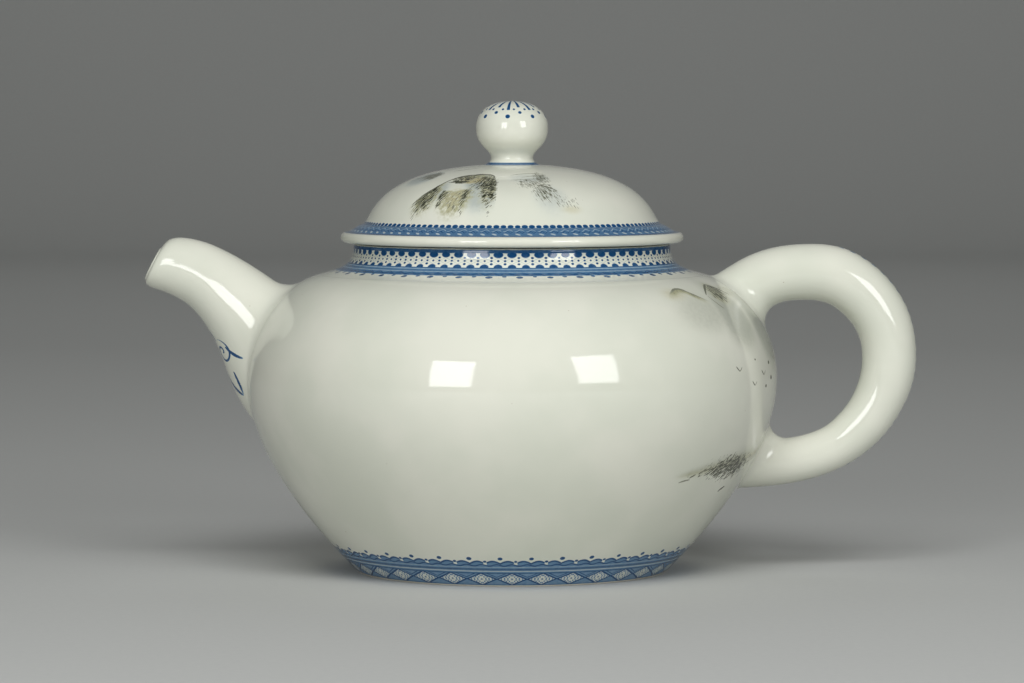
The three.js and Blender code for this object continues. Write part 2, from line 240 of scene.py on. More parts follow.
# %% Turn the foot ring and the neck
FOOT_BEVEL = 0.45
foot_ring = turned(
    "foot_ring_glazed",
    [(FOOT_INNER, FOOT_JOINT), (FOOT_INNER, 2 * FOOT_BEVEL)],
    arc((FOOT_INNER + FOOT_BEVEL, FOOT_BEVEL), FOOT_BEVEL, 180, 270, 4),
    arc((FOOT_RADIUS - 0.35, FOOT_BEVEL), FOOT_BEVEL, 270, 325, 4),
    flank[(flank[:, 1] > FOOT_BEVEL) & (flank[:, 1] < FOOT_JOINT - 0.1)],
    [(joint_radius, FOOT_JOINT)],
)
NECK_RADIUS = 34.9
NECK_TOP = neck_high.z / MM
NECK_LIP = 0.5
neck_sweep = bezier(
    shoulder_edge,
    (SHOULDER_RADIUS - 4.9 * math.cos(slope), SHOULDER_HEIGHT + 4.9 * math.sin(slope)),
    (NECK_RADIUS, NECK_TOP - 4.6),
    (NECK_RADIUS, NECK_TOP - NECK_LIP),
    60,
)
neck = turned(
    "neck_collar_glazed",
    neck_sweep,
    arc((NECK_RADIUS - NECK_LIP, NECK_TOP - NECK_LIP), NECK_LIP, 0, 90, 5)[1:],
    arc((BORE + NECK_LIP, NECK_TOP - NECK_LIP), NECK_LIP, 90, 180, 5),
    [(BORE, NECK_TOP - 3), (BORE, BORE_EDGE)],
    sides=320,
)
print("foot and neck", len(foot_ring.data.vertices), len(neck.data.vertices), "points")

# %% [markdown]
# ## The lid
# The lid has a thick half-round rim, a short flat band that carries the border, and a low dome. Under it a
# ring called the flange drops into the neck and keeps the lid from sliding off when tea is poured. The knob
# is a flattened ball on a waisted stem, and the glaze pools into a small hollow where the stem meets the lid.

# %% Turn the lid's dome and rim
lid_low, lid_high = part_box("lid_dome")
flange_low, flange_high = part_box("lid_flange")
LID_RADIUS = (lid_high.x - lid_low.x) / 2 / MM
LID_BASE = lid_low.z / MM
RIM = 1.125
DOME_RADIUS = 33.2
DOME_BASE = LID_BASE + 3.9
CROWN = DOME_BASE + 13.3
FLANGE_OUT = (flange_high.x - flange_low.x) / 2 / MM
FLANGE_IN = FLANGE_OUT - 2.4

rim_line = arc((LID_RADIUS - RIM, LID_BASE + RIM), RIM, -90, 90, 16)
rim_top = rim_line[-1]
dome_edge = (DOME_RADIUS, DOME_BASE)
band_line = bezier(rim_top, rim_top + (-1.0, 0.02), (DOME_RADIUS + 0.9, DOME_BASE - 0.17), dome_edge, 14)
dome_line = bezier(dome_edge, (DOME_RADIUS - 2.8, DOME_BASE + 0.5), (DOME_RADIUS - 1, CROWN), (0, CROWN), 80)
hollow_line = moved_in(dome_line, WALL)
hollow_line = hollow_line[hollow_line[:, 0] < FLANGE_IN - 0.6][::-2]
hollow_line[0, 0] = 0
lid = turned(
    "lid_dome_glazed",
    [(FLANGE_IN, LID_BASE)],
    rim_line,
    band_line[1:],
    dome_line[1:],
    hollow_line,
    [(FLANGE_IN, hollow_line[-1][1] - 1.4), (FLANGE_IN, LID_BASE)],
    sides=320,
)
print("lid crown at", round(CROWN, 1), "mm")

# %% Turn the flange and the knob
FLANGE_BOTTOM = flange_low.z / MM
FLANGE_EDGE = 0.8
flange = turned(
    "lid_flange_bare",
    [(FLANGE_OUT, LID_BASE), (FLANGE_OUT, LID_BASE - 3)],
    arc((FLANGE_OUT - FLANGE_EDGE, FLANGE_BOTTOM + FLANGE_EDGE), FLANGE_EDGE, 0, -90, 6),
    arc((FLANGE_IN + FLANGE_EDGE, FLANGE_BOTTOM + FLANGE_EDGE), FLANGE_EDGE, -90, -180, 6),
    [(FLANGE_IN, LID_BASE - 3), (FLANGE_IN, LID_BASE)],
)
knob_low, knob_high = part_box("knob")
KNOB_TOP = knob_high.z / MM
KNOB_RADIUS = (knob_high.x - knob_low.x) / 2 / MM
KNOB_EQUATOR = KNOB_TOP - 6.0
STEM_RADIUS = 4.66
waist = (STEM_RADIUS, CROWN + 1.35)
knob_side = (KNOB_RADIUS, KNOB_EQUATOR)
knob_crown = (0, KNOB_TOP)
knob = turned(
    "knob_glazed",
    bezier((7.3, CROWN - 0.42), (6.0, CROWN - 0.2), (STEM_RADIUS, CROWN + 0.2), waist, 14),
    bezier(waist, (STEM_RADIUS, CROWN + 3.2), (KNOB_RADIUS, KNOB_EQUATOR - 4.1), knob_side, 22)[1:],
    bezier(knob_side, (KNOB_RADIUS, KNOB_EQUATOR + 3.5), (0.66 * KNOB_RADIUS, KNOB_TOP), knob_crown, 30)[1:],
    sides=160,
)
print("knob radius", round(KNOB_RADIUS, 2), "top", round(KNOB_TOP, 2))

# %% [markdown]
# ## The spout and the handle
# Both are round bars of changing size, so each is drawn as a row of sections. A section is given by its upper
# and lower edge in the plane through the spout and the handle, and by its half width. Where such a bar is
# luted to the body, the potter presses a coil of clay into the corner and smooths it with a wet finger. That
# fillet is the track of a ball that rolls round the corner: for each line along the bar, the ball's place is
# found where it touches both the bar and the body, and the fillet is the arc between the two touching points.


# %% Helpers for bars
def bar_surface(sections, steps=240):
    """A function that gives points of a bar for a share of its length and an angle round it."""
    fine = smooth_line(sections, steps)

    def at(share, angle):
        row = np.stack([np.interp(share * steps, np.arange(steps + 1), column) for column in fine.T], -1)
        upper, lower, width = row[..., :2], row[..., 2:4], row[..., 4]
        middle = (upper + lower) / 2 + np.cos(angle)[..., None] * (upper - lower) / 2
        return np.stack([AXIS + middle[..., 0], width * np.sin(angle), middle[..., 1]], -1)

    return at


def outward(at, share, angle):
    """The bar's outward direction, from small steps along it and round it."""
    step = 1e-3
    along = at(share + step, angle) - at(share - step, angle)
    around = at(share, angle + step) - at(share, angle - step)
    normal = np.cross(along, around)
    normal /= np.linalg.norm(normal, axis=-1)[..., None]
    ring_middle = (at(share, angle) + at(share, angle + np.pi)) / 2
    facing = np.sum(normal * (at(share, angle) - ring_middle), -1, keepdims=True)
    return normal * np.sign(facing)


# %% How far a point stands off the body
body_start, body_run = body_line[:-1], np.diff(body_line, axis=0)


def off_body(points):
    """Distance from the body's outer skin, plus outside, and the direction away from it."""
    flat = np.stack([np.hypot(points[..., 0] - AXIS, points[..., 1]), points[..., 2]], -1)
    to_point = flat[..., None, :] - body_start
    t = np.clip(np.sum(to_point * body_run, -1) / np.sum(body_run**2, -1), 0, 1)
    nearest = body_start + t[..., None] * body_run
    gap = np.linalg.norm(flat[..., None, :] - nearest, axis=-1)
    best = np.argmin(gap, -1)[..., None]
    away = flat - np.take_along_axis(nearest, best[..., None], -2)[..., 0, :]
    run = body_run[best[..., 0]]
    normal = np.stack([run[..., 1], -run[..., 0]], -1)
    normal /= np.linalg.norm(normal, axis=-1)[..., None]
    distance = np.sum(away * normal, -1)
    turn = np.arctan2(points[..., 1], points[..., 0] - AXIS)
    direction = np.stack([normal[..., 0] * np.cos(turn), normal[..., 0] * np.sin(turn), normal[..., 1]], -1)
    return distance, direction


# %% The fillet that a rolling ball leaves
HALVINGS = 40


def last_clear(is_clear, count, search):
    """On each line along a bar, the last share of its length that is still clear, found by halving."""
    low, high = (np.full(count, share) for share in search)
    for _ in range(HALVINGS):
        middle = (low + high) / 2
        clear = is_clear(middle)
        low, high = np.where(clear, middle, low), np.where(clear, high, middle)
    return (low + high) / 2


def fillet(at, angles, radius, search, arc_steps=12):
    """Where the ball touches the bar, as shares of its length, and the arc's points down to the body."""

    def centre_at(share):
        return at(share, angles) + radius[:, None] * outward(at, share, angles)

    share = last_clear(lambda middle: off_body(centre_at(middle))[0] > radius, len(angles), search)
    touch, away, centre = at(share, angles), outward(at, share, angles), centre_at(share)
    from_body = off_body(centre)[1]
    opening = np.arccos(np.clip(np.sum(away * from_body, -1), -1, 1))[:, None]
    rings = []
    for t in np.linspace(0, 1, arc_steps + 1)[1:]:
        mix = (np.sin((1 - t) * opening) * away + np.sin(t * opening) * from_body) / np.sin(opening)
        rings.append(centre - radius[:, None] * mix)
    apart = rings[-1] - touch
    apart -= np.sum(apart * from_body, -1, keepdims=True) * from_body
    apart /= np.linalg.norm(apart, axis=-1, keepdims=True)
    rings.append(rings[-1] + 0.7 * apart - 0.12 * from_body)
    return share, rings


# %% [markdown]
# The spout narrows from a wide root to a small slanted mouth. Its wall thins towards the lip, which is
# rounded over, and its bore runs through to the port in the body.

# %% Loft the spout
SPOUT_SECTIONS = [
    (-77.1, 71.1, -80.75, 63.95, 3.75),
    (-76.4, 72.2, -80.5, 63.1, 4.6),
    (-75.1, 73.1, -79.5, 62.45, 5.1),
    (-73.0, 73.4, -78.1, 61.95, 5.4),
    (-70.0, 73.0, -75.1, 60.8, 5.7),
    (-66.5, 72.0, -71.8, 58.9, 6.1),
    (-62.6, 70.2, -69.3, 56.5, 6.6),
    (-59.0, 68.2, -67.2, 53.6, 7.3),
    (-55.5, 66.0, -65.4, 50.4, 8.1),
    (-52.3, 63.8, -63.9, 46.9, 9.0),
    (-49.2, 61.6, -62.6, 43.2, 10.0),
    (-46.3, 59.6, -61.0, 39.3, 11.1),
    (-43.5, 57.6, -58.6, 35.1, 12.2),
    (-41.0, 55.8, -55.2, 30.6, 13.1),
    (-39.0, 54.2, -51.0, 26.0, 13.8),
]
SPOUT_SIDES = 128
spout_at = bar_surface(SPOUT_SECTIONS)
spout_angles = around(SPOUT_SIDES)
top_side = (1 + np.cos(spout_angles)) / 2
spout_radius = 2.6 + 3.4 * top_side**3
spout_root, spout_fillet = fillet(spout_at, spout_angles, spout_radius, (0.35, 0.98))
print("spout root between", spout_root.min().round(2), "and", spout_root.max().round(2), "of its length")


def thinned(sections, walls):
    """The sections of a bore: each edge moved in by the wall."""
    made = []
    for (ux, uz, lx, lz, width), wall in zip(sections, walls):
        across = np.array([ux - lx, uz - lz])
        across *= wall / np.linalg.norm(across)
        made.append((ux - across[0], uz - across[1], lx + across[0], lz + across[1], width - wall))
    return made


# %% Join the spout's skin, lip and bore
LIP_BULGE = Vector((-0.36, 0, 0.18)) * 0.8
spout_walls = np.interp(range(len(SPOUT_SECTIONS)), [0, 1, 2, 3, 8, 14], [0.85, 1.35, 1.8, 2.1, 2.3, 2.5])
bore_at = bar_surface(thinned(SPOUT_SECTIONS, spout_walls))
bore_end = last_clear(lambda t: off_body(bore_at(t, spout_angles))[0] > 0.05, SPOUT_SIDES, (0.3, 0.99))
lip_outer, lip_inner = (at(np.zeros(SPOUT_SIDES), spout_angles) for at in (spout_at, bore_at))
lip_middle, lip_half = (lip_inner + lip_outer) / 2, (lip_inner - lip_outer) / 2
lip_turns = np.linspace(0, math.pi, 8)
lip = [lip_middle + math.cos(t) * lip_half + math.sin(t) * np.array(LIP_BULGE) for t in lip_turns]
spout_rings = [bore_at(bore_end * t, spout_angles) for t in np.linspace(1, 0, 50)[:-1]]
spout_rings += lip
spout_rings += [spout_at(spout_root * t**1.25, spout_angles) for t in np.linspace(0, 1, 90)[1:]]
spout_rings += spout_fillet
spout = object_from("spout_glazed", *skin(spout_rings))
print("spout reaches x =", round(min(v.co.x for v in spout.data.vertices) / MM, 2), "mm")

# %% [markdown]
# The handle springs from the shoulder, bows round like an ear and comes back to the flank, a little thinner
# all the way down.

# %% Loft the handle
HANDLE_SECTIONS = [
    (39.8, 61.6, 49.0, 51.2),
    (43.6, 64.3, 52.2, 54.1),
    (47.5, 66.8, 55.4, 56.9),
    (51.3, 69.0, 58.0, 58.5),
    (55.3, 70.6, 60.3, 59.3),
    (59.8, 71.6, 62.7, 59.6),
    (64.5, 71.97, 65.2, 59.6),
    (69.2, 71.85, 67.7, 59.35),
    (73.8, 70.8, 70.1, 58.6),
    (78.3, 68.4, 72.3, 57.1),
    (82.4, 64.9, 74.3, 55.2),
    (85.9, 60.3, 75.9, 52.8),
    (88.2, 54.9, 76.9, 50.1),
    (89.15, 49.0, 77.2, 47.1),
    (88.8, 43.0, 77.0, 44.0),
    (87.0, 37.4, 76.1, 40.6),
    (83.7, 31.7, 74.4, 37.2),
    (79.5, 27.1, 72.1, 34.3),
    (74.8, 23.7, 69.4, 31.9),
    (70.0, 21.4, 66.3, 30.4),
    (65.2, 19.9, 63.0, 29.5),
    (60.4, 18.95, 59.6, 29.0),
    (55.6, 18.4, 55.9, 28.7),
    (50.6, 18.1, 51.6, 28.6),
    (45.0, 17.9, 46.0, 28.6),
]
HANDLE_SIDES = 96
handle_rows = [(ox, oz, ix, iz, math.hypot(ox - ix, oz - iz) / 2) for ox, oz, ix, iz in HANDLE_SECTIONS]
handle_at = bar_surface(handle_rows)
handle_angles = around(HANDLE_SIDES)
inner_side = (1 - np.cos(handle_angles)) / 2


def handle_from_below(share, angle):
    """The same bar run from its lower end to its upper one."""
    return handle_at(1 - share, angle)


top_root, top_fillet = fillet(handle_from_below, handle_angles, 3.0 + 1.2 * inner_side, (0.6, 0.999))
end_root, end_fillet = fillet(handle_at, handle_angles, 2.6 + 1.0 * inner_side, (0.7, 0.999))
start = 1 - top_root
handle_rings = top_fillet[::-1]
handle_rings += [handle_at(start + (end_root - start) * t, handle_angles) for t in np.linspace(0, 1, 180)]
handle_rings += end_fillet
handle = object_from("handle_glazed", *skin(handle_rings))
print("handle reaches x =", round(max(v.co.x for v in handle.data.vertices) / MM, 2), "mm")

# %% [markdown]
# ## Holes and the strainer
# Behind the spout the body's wall is bored through, and inside it a small pierced dome of clay holds the tea
# leaves back. The lid has an air hole on its far side, so that the tea can run. The holes are cut with a
# Boolean modifier, as a potter cuts them with a hollow drill after the wall is made.


# %% A helper that drills
DRILL_SIDES = 32
WELD = 5e-6


def drilled(piece, drills):
    """Cuts drills, given as (start, direction, radius, length) in millimetres, out of a piece."""
    work = bmesh.new()
    for start, direction, radius, length in drills:
        facing = Vector(direction).to_track_quat("Z", "Y").to_matrix()
        sizes = {"radius1": radius * MM, "radius2": radius * MM, "depth": length * MM}
        made = bmesh.ops.create_cone(work, cap_ends=True, segments=DRILL_SIDES, **sizes)
        middle = (Vector(start) + Vector(direction).normalized() * length / 2) * MM
        bmesh.ops.rotate(work, verts=made["verts"], matrix=facing)
        bmesh.ops.translate(work, verts=made["verts"], vec=middle)
    mesh = bpy.data.meshes.new("drill")
    work.to_mesh(mesh)
    work.free()
    drill = bpy.data.objects.new("drill", mesh)
    bpy.context.scene.collection.objects.link(drill)
    cut = piece.modifiers.new("drill", "BOOLEAN")
    cut.object = drill
    cut.operation = "DIFFERENCE"
    cut.solver = "EXACT"
    bpy.context.view_layer.update()
    done = bpy.data.meshes.new_from_object(piece.evaluated_get(bpy.context.evaluated_depsgraph_get()))
    piece.modifiers.clear()
    piece.data = done
    bpy.data.objects.remove(drill)
    # The cut leaves a few slivers where the drill meets the wall's edges, and welding takes them out.
    work = bmesh.new()
    work.from_mesh(done)
    bmesh.ops.remove_doubles(work, verts=work.verts, dist=WELD)
    bmesh.ops.dissolve_degenerate(work, edges=work.edges, dist=WELD)
    work.to_mesh(done)
    work.free()


# %% Drill the port and the air hole
strainer_low, strainer_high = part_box("strainer")
PORT_HEIGHT = (strainer_low.z + strainer_high.z) / 2 / MM
PORT_RADIUS = 7.0
AIR_HOLE_OFFSET = 14
AIR_HOLE_RADIUS = 1.2
drilled(body, [((strainer_low.x / MM - 6, 0, PORT_HEIGHT), (1, 0, 0), PORT_RADIUS, 20)])
drilled(lid, [((AXIS, AIR_HOLE_OFFSET, CROWN - 7), (0, 0, 1), AIR_HOLE_RADIUS, 12)])
print("body", len(body.data.polygons), "faces, lid", len(lid.data.polygons), "faces")

# %% Make the strainer
STRAINER_HOLE = 1.1
dome_radius = (strainer_high.y - strainer_low.y) / 2 / MM + 0.2
strainer_middle = (strainer_high.x / MM - dome_radius, 0, PORT_HEIGHT)
tilt = np.radians(np.linspace(0, 88, 26))
cap = [(dome_radius * np.sin(t), dome_radius * np.cos(t)) for t in tilt]
cap += [((dome_radius - 2) * np.sin(t), (dome_radius - 2) * np.cos(t)) for t in tilt[::-1]]
round_turn = around(64)
cap_rings = [
    np.stack([np.full(64, out), r * np.cos(round_turn), r * np.sin(round_turn)], 1) + strainer_middle
    for r, out in cap
]
strainer = object_from("strainer_glazed", *skin(cap_rings + cap_rings[:1]))
strainer_holes = []
for lean, count in ((0, 1), (30, 6), (57, 9)):
    for k in range(count):
        turn = 2 * math.pi * k / count
        out = math.sin(math.radians(lean))
        toward = Vector((math.cos(math.radians(lean)), out * math.cos(turn), out * math.sin(turn)))
        begin = Vector(strainer_middle) + 0.6 * dome_radius * toward
        strainer_holes.append((begin, toward, STRAINER_HOLE, 6))
drilled(strainer, strainer_holes)
print("strainer", len(strainer.data.polygons), "faces")

# %% [markdown]
# ## Painting with nodes
# The borders and the landscape are painted under the glaze, so they are colour only, and the shape stays as
# it is. Each is a mask worked out from where a point lies on the pot: how far round it is, how high, and how
# far from the turning axis. Such sums take many Math nodes, so a small class lets them be written as ordinary
# arithmetic: adding two Levels adds a Math node that adds their sockets.


# %% Arithmetic with sockets
def feed(slot, value):
    """Plugs a value or another node's output into a node's input."""
    if isinstance(value, Level):
        slot.id_data.links.new(value.socket, slot)
    else:
        slot.default_value = value


class Level:
    """A number that changes over the surface."""

    def __init__(self, socket):
        self.socket = socket
        self.tree = socket.id_data

    def math(self, operation, *others):
        node = self.tree.nodes.new("ShaderNodeMath")
        node.operation = operation
        for slot, value in zip(node.inputs, (self, *others)):
            feed(slot, value)
        return Level(node.outputs[0])

    def __add__(self, other):
        return self.math("ADD", other)

    def __sub__(self, other):
        return self.math("SUBTRACT", other)

    def __mul__(self, other):
        return self.math("MULTIPLY", other)

    def __truediv__(self, other):
        return self.math("DIVIDE", other)

    def __neg__(self):
        return self * -1

    def __abs__(self):
        return self.math("ABSOLUTE")

    def either(self, other):
        """The darker of two inks."""
        return self.math("MAXIMUM", other)

    def least(self, other):
        return self.math("MINIMUM", other)

    def rising(self, low, high):
        """0 up to low, 1 from high, with a soft step between."""
        node = self.tree.nodes.new("ShaderNodeMapRange")
        node.interpolation_type = "SMOOTHSTEP"
        feed(node.inputs["Value"], self)
        feed(node.inputs["From Min"], low)
        feed(node.inputs["From Max"], high)
        return Level(node.outputs["Result"])

    def within(self, centre, half, soft):
        """1 where the value is less than half from the centre, with a soft edge."""
        return (-abs(self - centre)).rising(-half - soft / 2, -half + soft / 2)


def length(a, b):
    """The distance that two offsets make together."""
    return (a * a + b * b).math("SQRT")


# %% Groups, noise and hand-drawn profiles
def new_group(name, inputs, outputs):
    """A node group: inputs are titles with starting values, and outputs are titles with kinds of socket."""
    tree = bpy.data.node_groups.new(name, "ShaderNodeTree")
    for title, value in inputs.items():
        kind = "NodeSocketColor" if isinstance(value, tuple) else "NodeSocketFloat"
        tree.interface.new_socket(title, in_out="INPUT", socket_type=kind).default_value = value
    for title, kind in outputs.items():
        tree.interface.new_socket(title, in_out="OUTPUT", socket_type=f"NodeSocket{kind}")
    source = tree.nodes.new("NodeGroupInput")
    target = tree.nodes.new("NodeGroupOutput")
    return tree, {title: Level(source.outputs[title]) for title in inputs}, target.inputs


def use(tree, group, output, **values):
    """Places a group in a tree, with its inputs by name, and gives one of its outputs."""
    node = tree.nodes.new("ShaderNodeGroup")
    node.node_tree = group
    for title, value in values.items():
        feed(node.inputs[title.replace("_", " ").capitalize()], value)
    return Level(node.outputs[output])


def point(tree, x, y, z=0.0):
    """A vector made of three values."""
    node = tree.nodes.new("ShaderNodeCombineXYZ")
    for slot, value in zip(node.inputs, (x, y, z)):
        feed(slot, value)
    return Level(node.outputs[0])


def noise(tree, place, scale, detail):
    """Cloudy variation from 0 to 1, mostly near 0.5."""
    node = tree.nodes.new("ShaderNodeTexNoise")
    feed(node.inputs["Vector"], place)
    node.inputs["Scale"].default_value = scale
    node.inputs["Detail"].default_value = detail
    return Level(node.outputs["Fac"])


def profile(tree, across, points):
    """A hand-drawn line: its height at each place across, through a few points."""
    xs, ys = zip(*points)
    left, right, low, high = min(xs), max(xs), min(ys) - 1, max(ys) + 1
    node = tree.nodes.new("ShaderNodeFloatCurve")
    curve = node.mapping.curves[0]
    while len(curve.points) < len(points):
        curve.points.new(0.5, 0.5)
    for knot, (x, y) in zip(curve.points, points):
        knot.location = ((x - left) / (right - left), (y - low) / (high - low))
    node.mapping.update()
    feed(node.inputs["Value"], (across - left) / (right - left))
    return Level(node.outputs[0]) * (high - low) + low


print("painting helpers ready")

# %% [markdown]
# ## Where a point lies on the pot
# All the masks start from the same few numbers, so they come from one group. Turn is the angle round the pot
# in degrees, 0 at the front and plus towards the handle. Radius is the distance from the turning axis, Across
# and Depth are its parts to the right and to the back, and Height is above the table, all in millimetres. The
# Object coordinates are used, because they stay with a piece when the lid is lifted.

# %% Group: place on the pot
MILLIMETRES = 1 / MM
place_group, _, place_out = new_group(
    "Place on the pot", {}, dict.fromkeys(("Turn", "Radius", "Height", "Across", "Depth"), "Float")
)
coordinates = place_group.nodes.new("ShaderNodeTexCoord")
parts = place_group.nodes.new("ShaderNodeSeparateXYZ")
place_group.links.new(coordinates.outputs["Object"], parts.inputs[0])
east, north, up = (Level(parts.outputs[axis]) * MILLIMETRES for axis in "XYZ")
east = east - AXIS
feed(place_out["Turn"], east.math("ARCTAN2", -north).math("DEGREES"))
feed(place_out["Radius"], length(east, north))
feed(place_out["Height"], up)
feed(place_out["Across"], east)
feed(place_out["Depth"], north)


class Place:
    """The place group in a material, with its outputs as Levels."""

    def __init__(self, tree):
        node = tree.nodes.new("ShaderNodeGroup")
        node.node_tree = place_group
        self.tree = tree
        self.turn, self.radius, self.height, self.across, self.depth = (Level(o) for o in node.outputs)
        self.spot = point(tree, self.across, self.depth, self.height)


print("group:", place_group.name)

# %% [markdown]
# ## The glaze
# Glaze runs thicker in some places than in others, which shifts its warm white a little towards green, and
# the kiln leaves a few tiny iron specks. Its surface is almost a mirror, but it keeps a very slight ripple
# from the brush or the dip, which makes the reflections of windows wander at their edges.

# %% Group: glaze
GLAZE_WHITE = (0.735, 0.742, 0.645, 1)
GLAZE_THICK = (0.68, 0.70, 0.60, 1)
SPECK = (0.30, 0.235, 0.15, 1)


def blended(tree, share, first, second):
    """Two colours mixed by a share."""
    node = tree.nodes.new("ShaderNodeMix")
    node.data_type = "RGBA"
    node.clamp_factor = True
    below, above = (slot for slot in node.inputs if slot.type == "RGBA")
    feed(node.inputs[0], share)
    feed(below, first)
    feed(above, second)
    return Level(next(slot for slot in node.outputs if slot.type == "RGBA"))


glaze_outputs = {"Color": "Color", "Roughness": "Float", "Ripple": "Float"}
glaze_group, _, glaze_out = new_group("Glaze", {}, glaze_outputs)
spot = Place(glaze_group).spot
thickness = noise(glaze_group, spot, 0.045, 3).rising(0.38, 0.66)
glaze = blended(glaze_group, thickness, GLAZE_WHITE, GLAZE_THICK)
cells = glaze_group.nodes.new("ShaderNodeTexVoronoi")
feed(cells.inputs["Vector"], spot)
cells.inputs["Scale"].default_value = 0.42
chance = glaze_group.nodes.new("ShaderNodeSeparateColor")
glaze_group.links.new(cells.outputs["Color"], chance.inputs[0])
rare = Level(chance.outputs[0]).rising(0.90, 0.97)
speck = (-Level(cells.outputs["Distance"])).rising(-0.075, -0.03) * rare * 0.6
feed(glaze_out["Color"], blended(glaze_group, speck, glaze, SPECK))
slow_wave = noise(glaze_group, spot, 0.16, 1)
fine_wave = noise(glaze_group, spot, 0.9, 2)
feed(glaze_out["Roughness"], fine_wave * 0.05 + thickness * 0.02 + 0.035)
feed(glaze_out["Ripple"], slow_wave + fine_wave * 0.015)
print("group:", glaze_group.name)

# %% [markdown]
# ## The cobalt and the ink
# Cobalt oxide bleeds a little into the glaze, pools at the end of each touch and thins where the brush was
# dry, so its tone is never even. The landscape's ink is a grey that leans to olive where it is strong and to
# blue where it is washed out. One group does both: it lays a pigment over a ground and mottles its strength.

# %% Group: pigment
pigment_group, given, pigment_out = new_group(
    "Pigment",
    {"Ground": (1.0, 1.0, 1.0, 1.0), "Dark": (0.0, 0.0, 0.0, 1.0), "Pale": (0.5, 0.5, 0.5, 1.0), "Ink": 0.0},
    {"Color": "Color"},
)
spot = Place(pigment_group).spot
mottle = noise(pigment_group, spot, 1.1, 3) * 0.5 + 0.75
strength = (given["Ink"] * mottle).least(1)
tone = blended(pigment_group, strength, given["Pale"], given["Dark"])
feed(pigment_out["Color"], blended(pigment_group, strength.rising(0, 0.4), given["Ground"], tone))
COBALT = ((0.008, 0.06, 0.168, 1), (0.19, 0.355, 0.52, 1))
INK = ((0.030, 0.032, 0.018, 1), (0.36, 0.37, 0.28, 1))
BLUE_WASH = ((0.20, 0.245, 0.25, 1), (0.62, 0.66, 0.60, 1))
OLIVE_WASH = ((0.14, 0.14, 0.045, 1), (0.55, 0.55, 0.38, 1))
OCHRE_WASH = ((0.29, 0.235, 0.07, 1), (0.60, 0.575, 0.40, 1))


def painted(tree, ground, pigment, ink):
    """The ground with a pigment laid over it."""
    dark, pale = pigment
    return use(tree, pigment_group, "Color", ground=ground, dark=dark, pale=pale, ink=ink)


print("group:", pigment_group.name)

# %% [markdown]
# ## Lines, dots and diamonds
# The borders are made of a few touches, repeated: a line drawn while the pot turns, and dots set with the tip
# of the brush. Each is a group with its size in millimetres. The hand is never quite even, so each dot has
# its own size, from a white noise of its number round the pot.

# %% Group: line
line_group, given, line_out = new_group(
    "Brushed line", {"Height": 0.0, "Centre": 0.0, "Width": 0.3, "Waver": 0.04}, {"Ink": "Float"}
)
spot = Place(line_group).spot
drift = (noise(line_group, spot, 0.35, 2) - 0.5) * given["Waver"] * 2
thin = noise(line_group, spot, 0.8, 2) * 0.5 + 0.75
edge = given["Width"] * thin / 2
off = abs(given["Height"] - given["Centre"] + drift)
feed(line_out["Ink"], (edge - off).rising(-0.05, 0.07))

# %% Group: row of dots
dots_group, given, dots_out = new_group(
    "Row of dots",
    {"Turn": 0.0, "Height": 0.0, "Count": 76.0, "Shift": 0.0, "Centre": 0.0}
    | {"Ring": 35.0, "Width": 1.0, "Tall": 1.0, "Uneven": 0.15},
    {"Ink": "Float"},
)
step = given["Turn"] / 360 * given["Count"] + given["Shift"] + 0.5
number = step.math("FLOOR").math("FLOORED_MODULO", given["Count"])
chance = dots_group.nodes.new("ShaderNodeTexWhiteNoise")
chance.noise_dimensions = "1D"
feed(chance.inputs["W"], number)
own_size = (Level(chance.outputs["Value"]) - 0.5) * given["Uneven"] + 1
along = (step.math("FRACT") - 0.5) * (2 * math.pi) * given["Ring"] / given["Count"]
above = given["Height"] - given["Centre"]
reach = length(along / (given["Width"] / 2), above / (given["Tall"] / 2)) / own_size
feed(dots_out["Ink"], (-reach).rising(-1.12, -0.82))
print("groups:", line_group.name, "and", dots_group.name)


# %% Short ways to place them
def ring_line(place, centre, width, waver=0.04):
    """A line round the pot at a height."""
    return use(place.tree, line_group, "Ink", height=place.height, centre=centre, width=width, waver=waver)


def ring_dots(place, count, centre, width, tall, ring, shift=0.0, uneven=0.15):
    """A row of dots round the pot at a height. Their width is true where the pot's radius is the ring's."""
    row = {"count": count, "shift": shift, "centre": centre, "ring": ring, "uneven": uneven}
    size = {"width": width, "tall": tall}
    return use(place.tree, dots_group, "Ink", turn=place.turn, height=place.height, **row, **size)


def zigzag(place, count, shift=0.0):
    """0 at the middle of each repeat and 0.5 at its ends."""
    return abs((place.turn / 360 * count + shift).math("FRACT") - 0.5)


def wave(place, count, tall):
    """A wavy height that repeats round the pot."""
    return (place.turn * count).math("RADIANS").math("SINE") * tall


def layered(inks):
    """Several inks laid over each other."""
    darkest = inks[0]
    for ink in inks[1:]:
        darkest = darkest.either(ink)
    return darkest


print("row and line placers ready")

# %% [markdown]
# ## One recipe for every glazed piece
# A glazed piece is a Principled BSDF with a low roughness. The painting changes its colour only, and on the
# body, the neck and the lid a mask keeps it on the outer side of the wall. The ripple goes through a Bump
# node with a very small distance, because it is only a few hundredths of a millimetre deep.


# %% The outside of a hollow piece
def outside(place):
    """1 where the surface faces away from the middle of the pot, and 0 on the inner side of a wall."""
    tree = place.tree
    coordinates = tree.nodes.new("ShaderNodeTexCoord")
    facing = tree.nodes.new("ShaderNodeVectorMath")
    facing.operation = "DOT_PRODUCT"
    feed(facing.inputs[0], Level(coordinates.outputs["Normal"]))
    feed(facing.inputs[1], point(tree, place.across, place.depth, place.height - BELLY_HEIGHT))
    return Level(facing.outputs["Value"]).rising(-0.5, 0.5)


# %% The glazed material
GLAZE_IOR = 1.52
BISCUIT = (0.70, 0.655, 0.56, 1)


def fresh_material(name):
    """A new material with its node tree and its shader."""
    material = bpy.data.materials.new(name)
    material.use_nodes = True
    return material, material.node_tree, material.node_tree.nodes["Principled BSDF"]


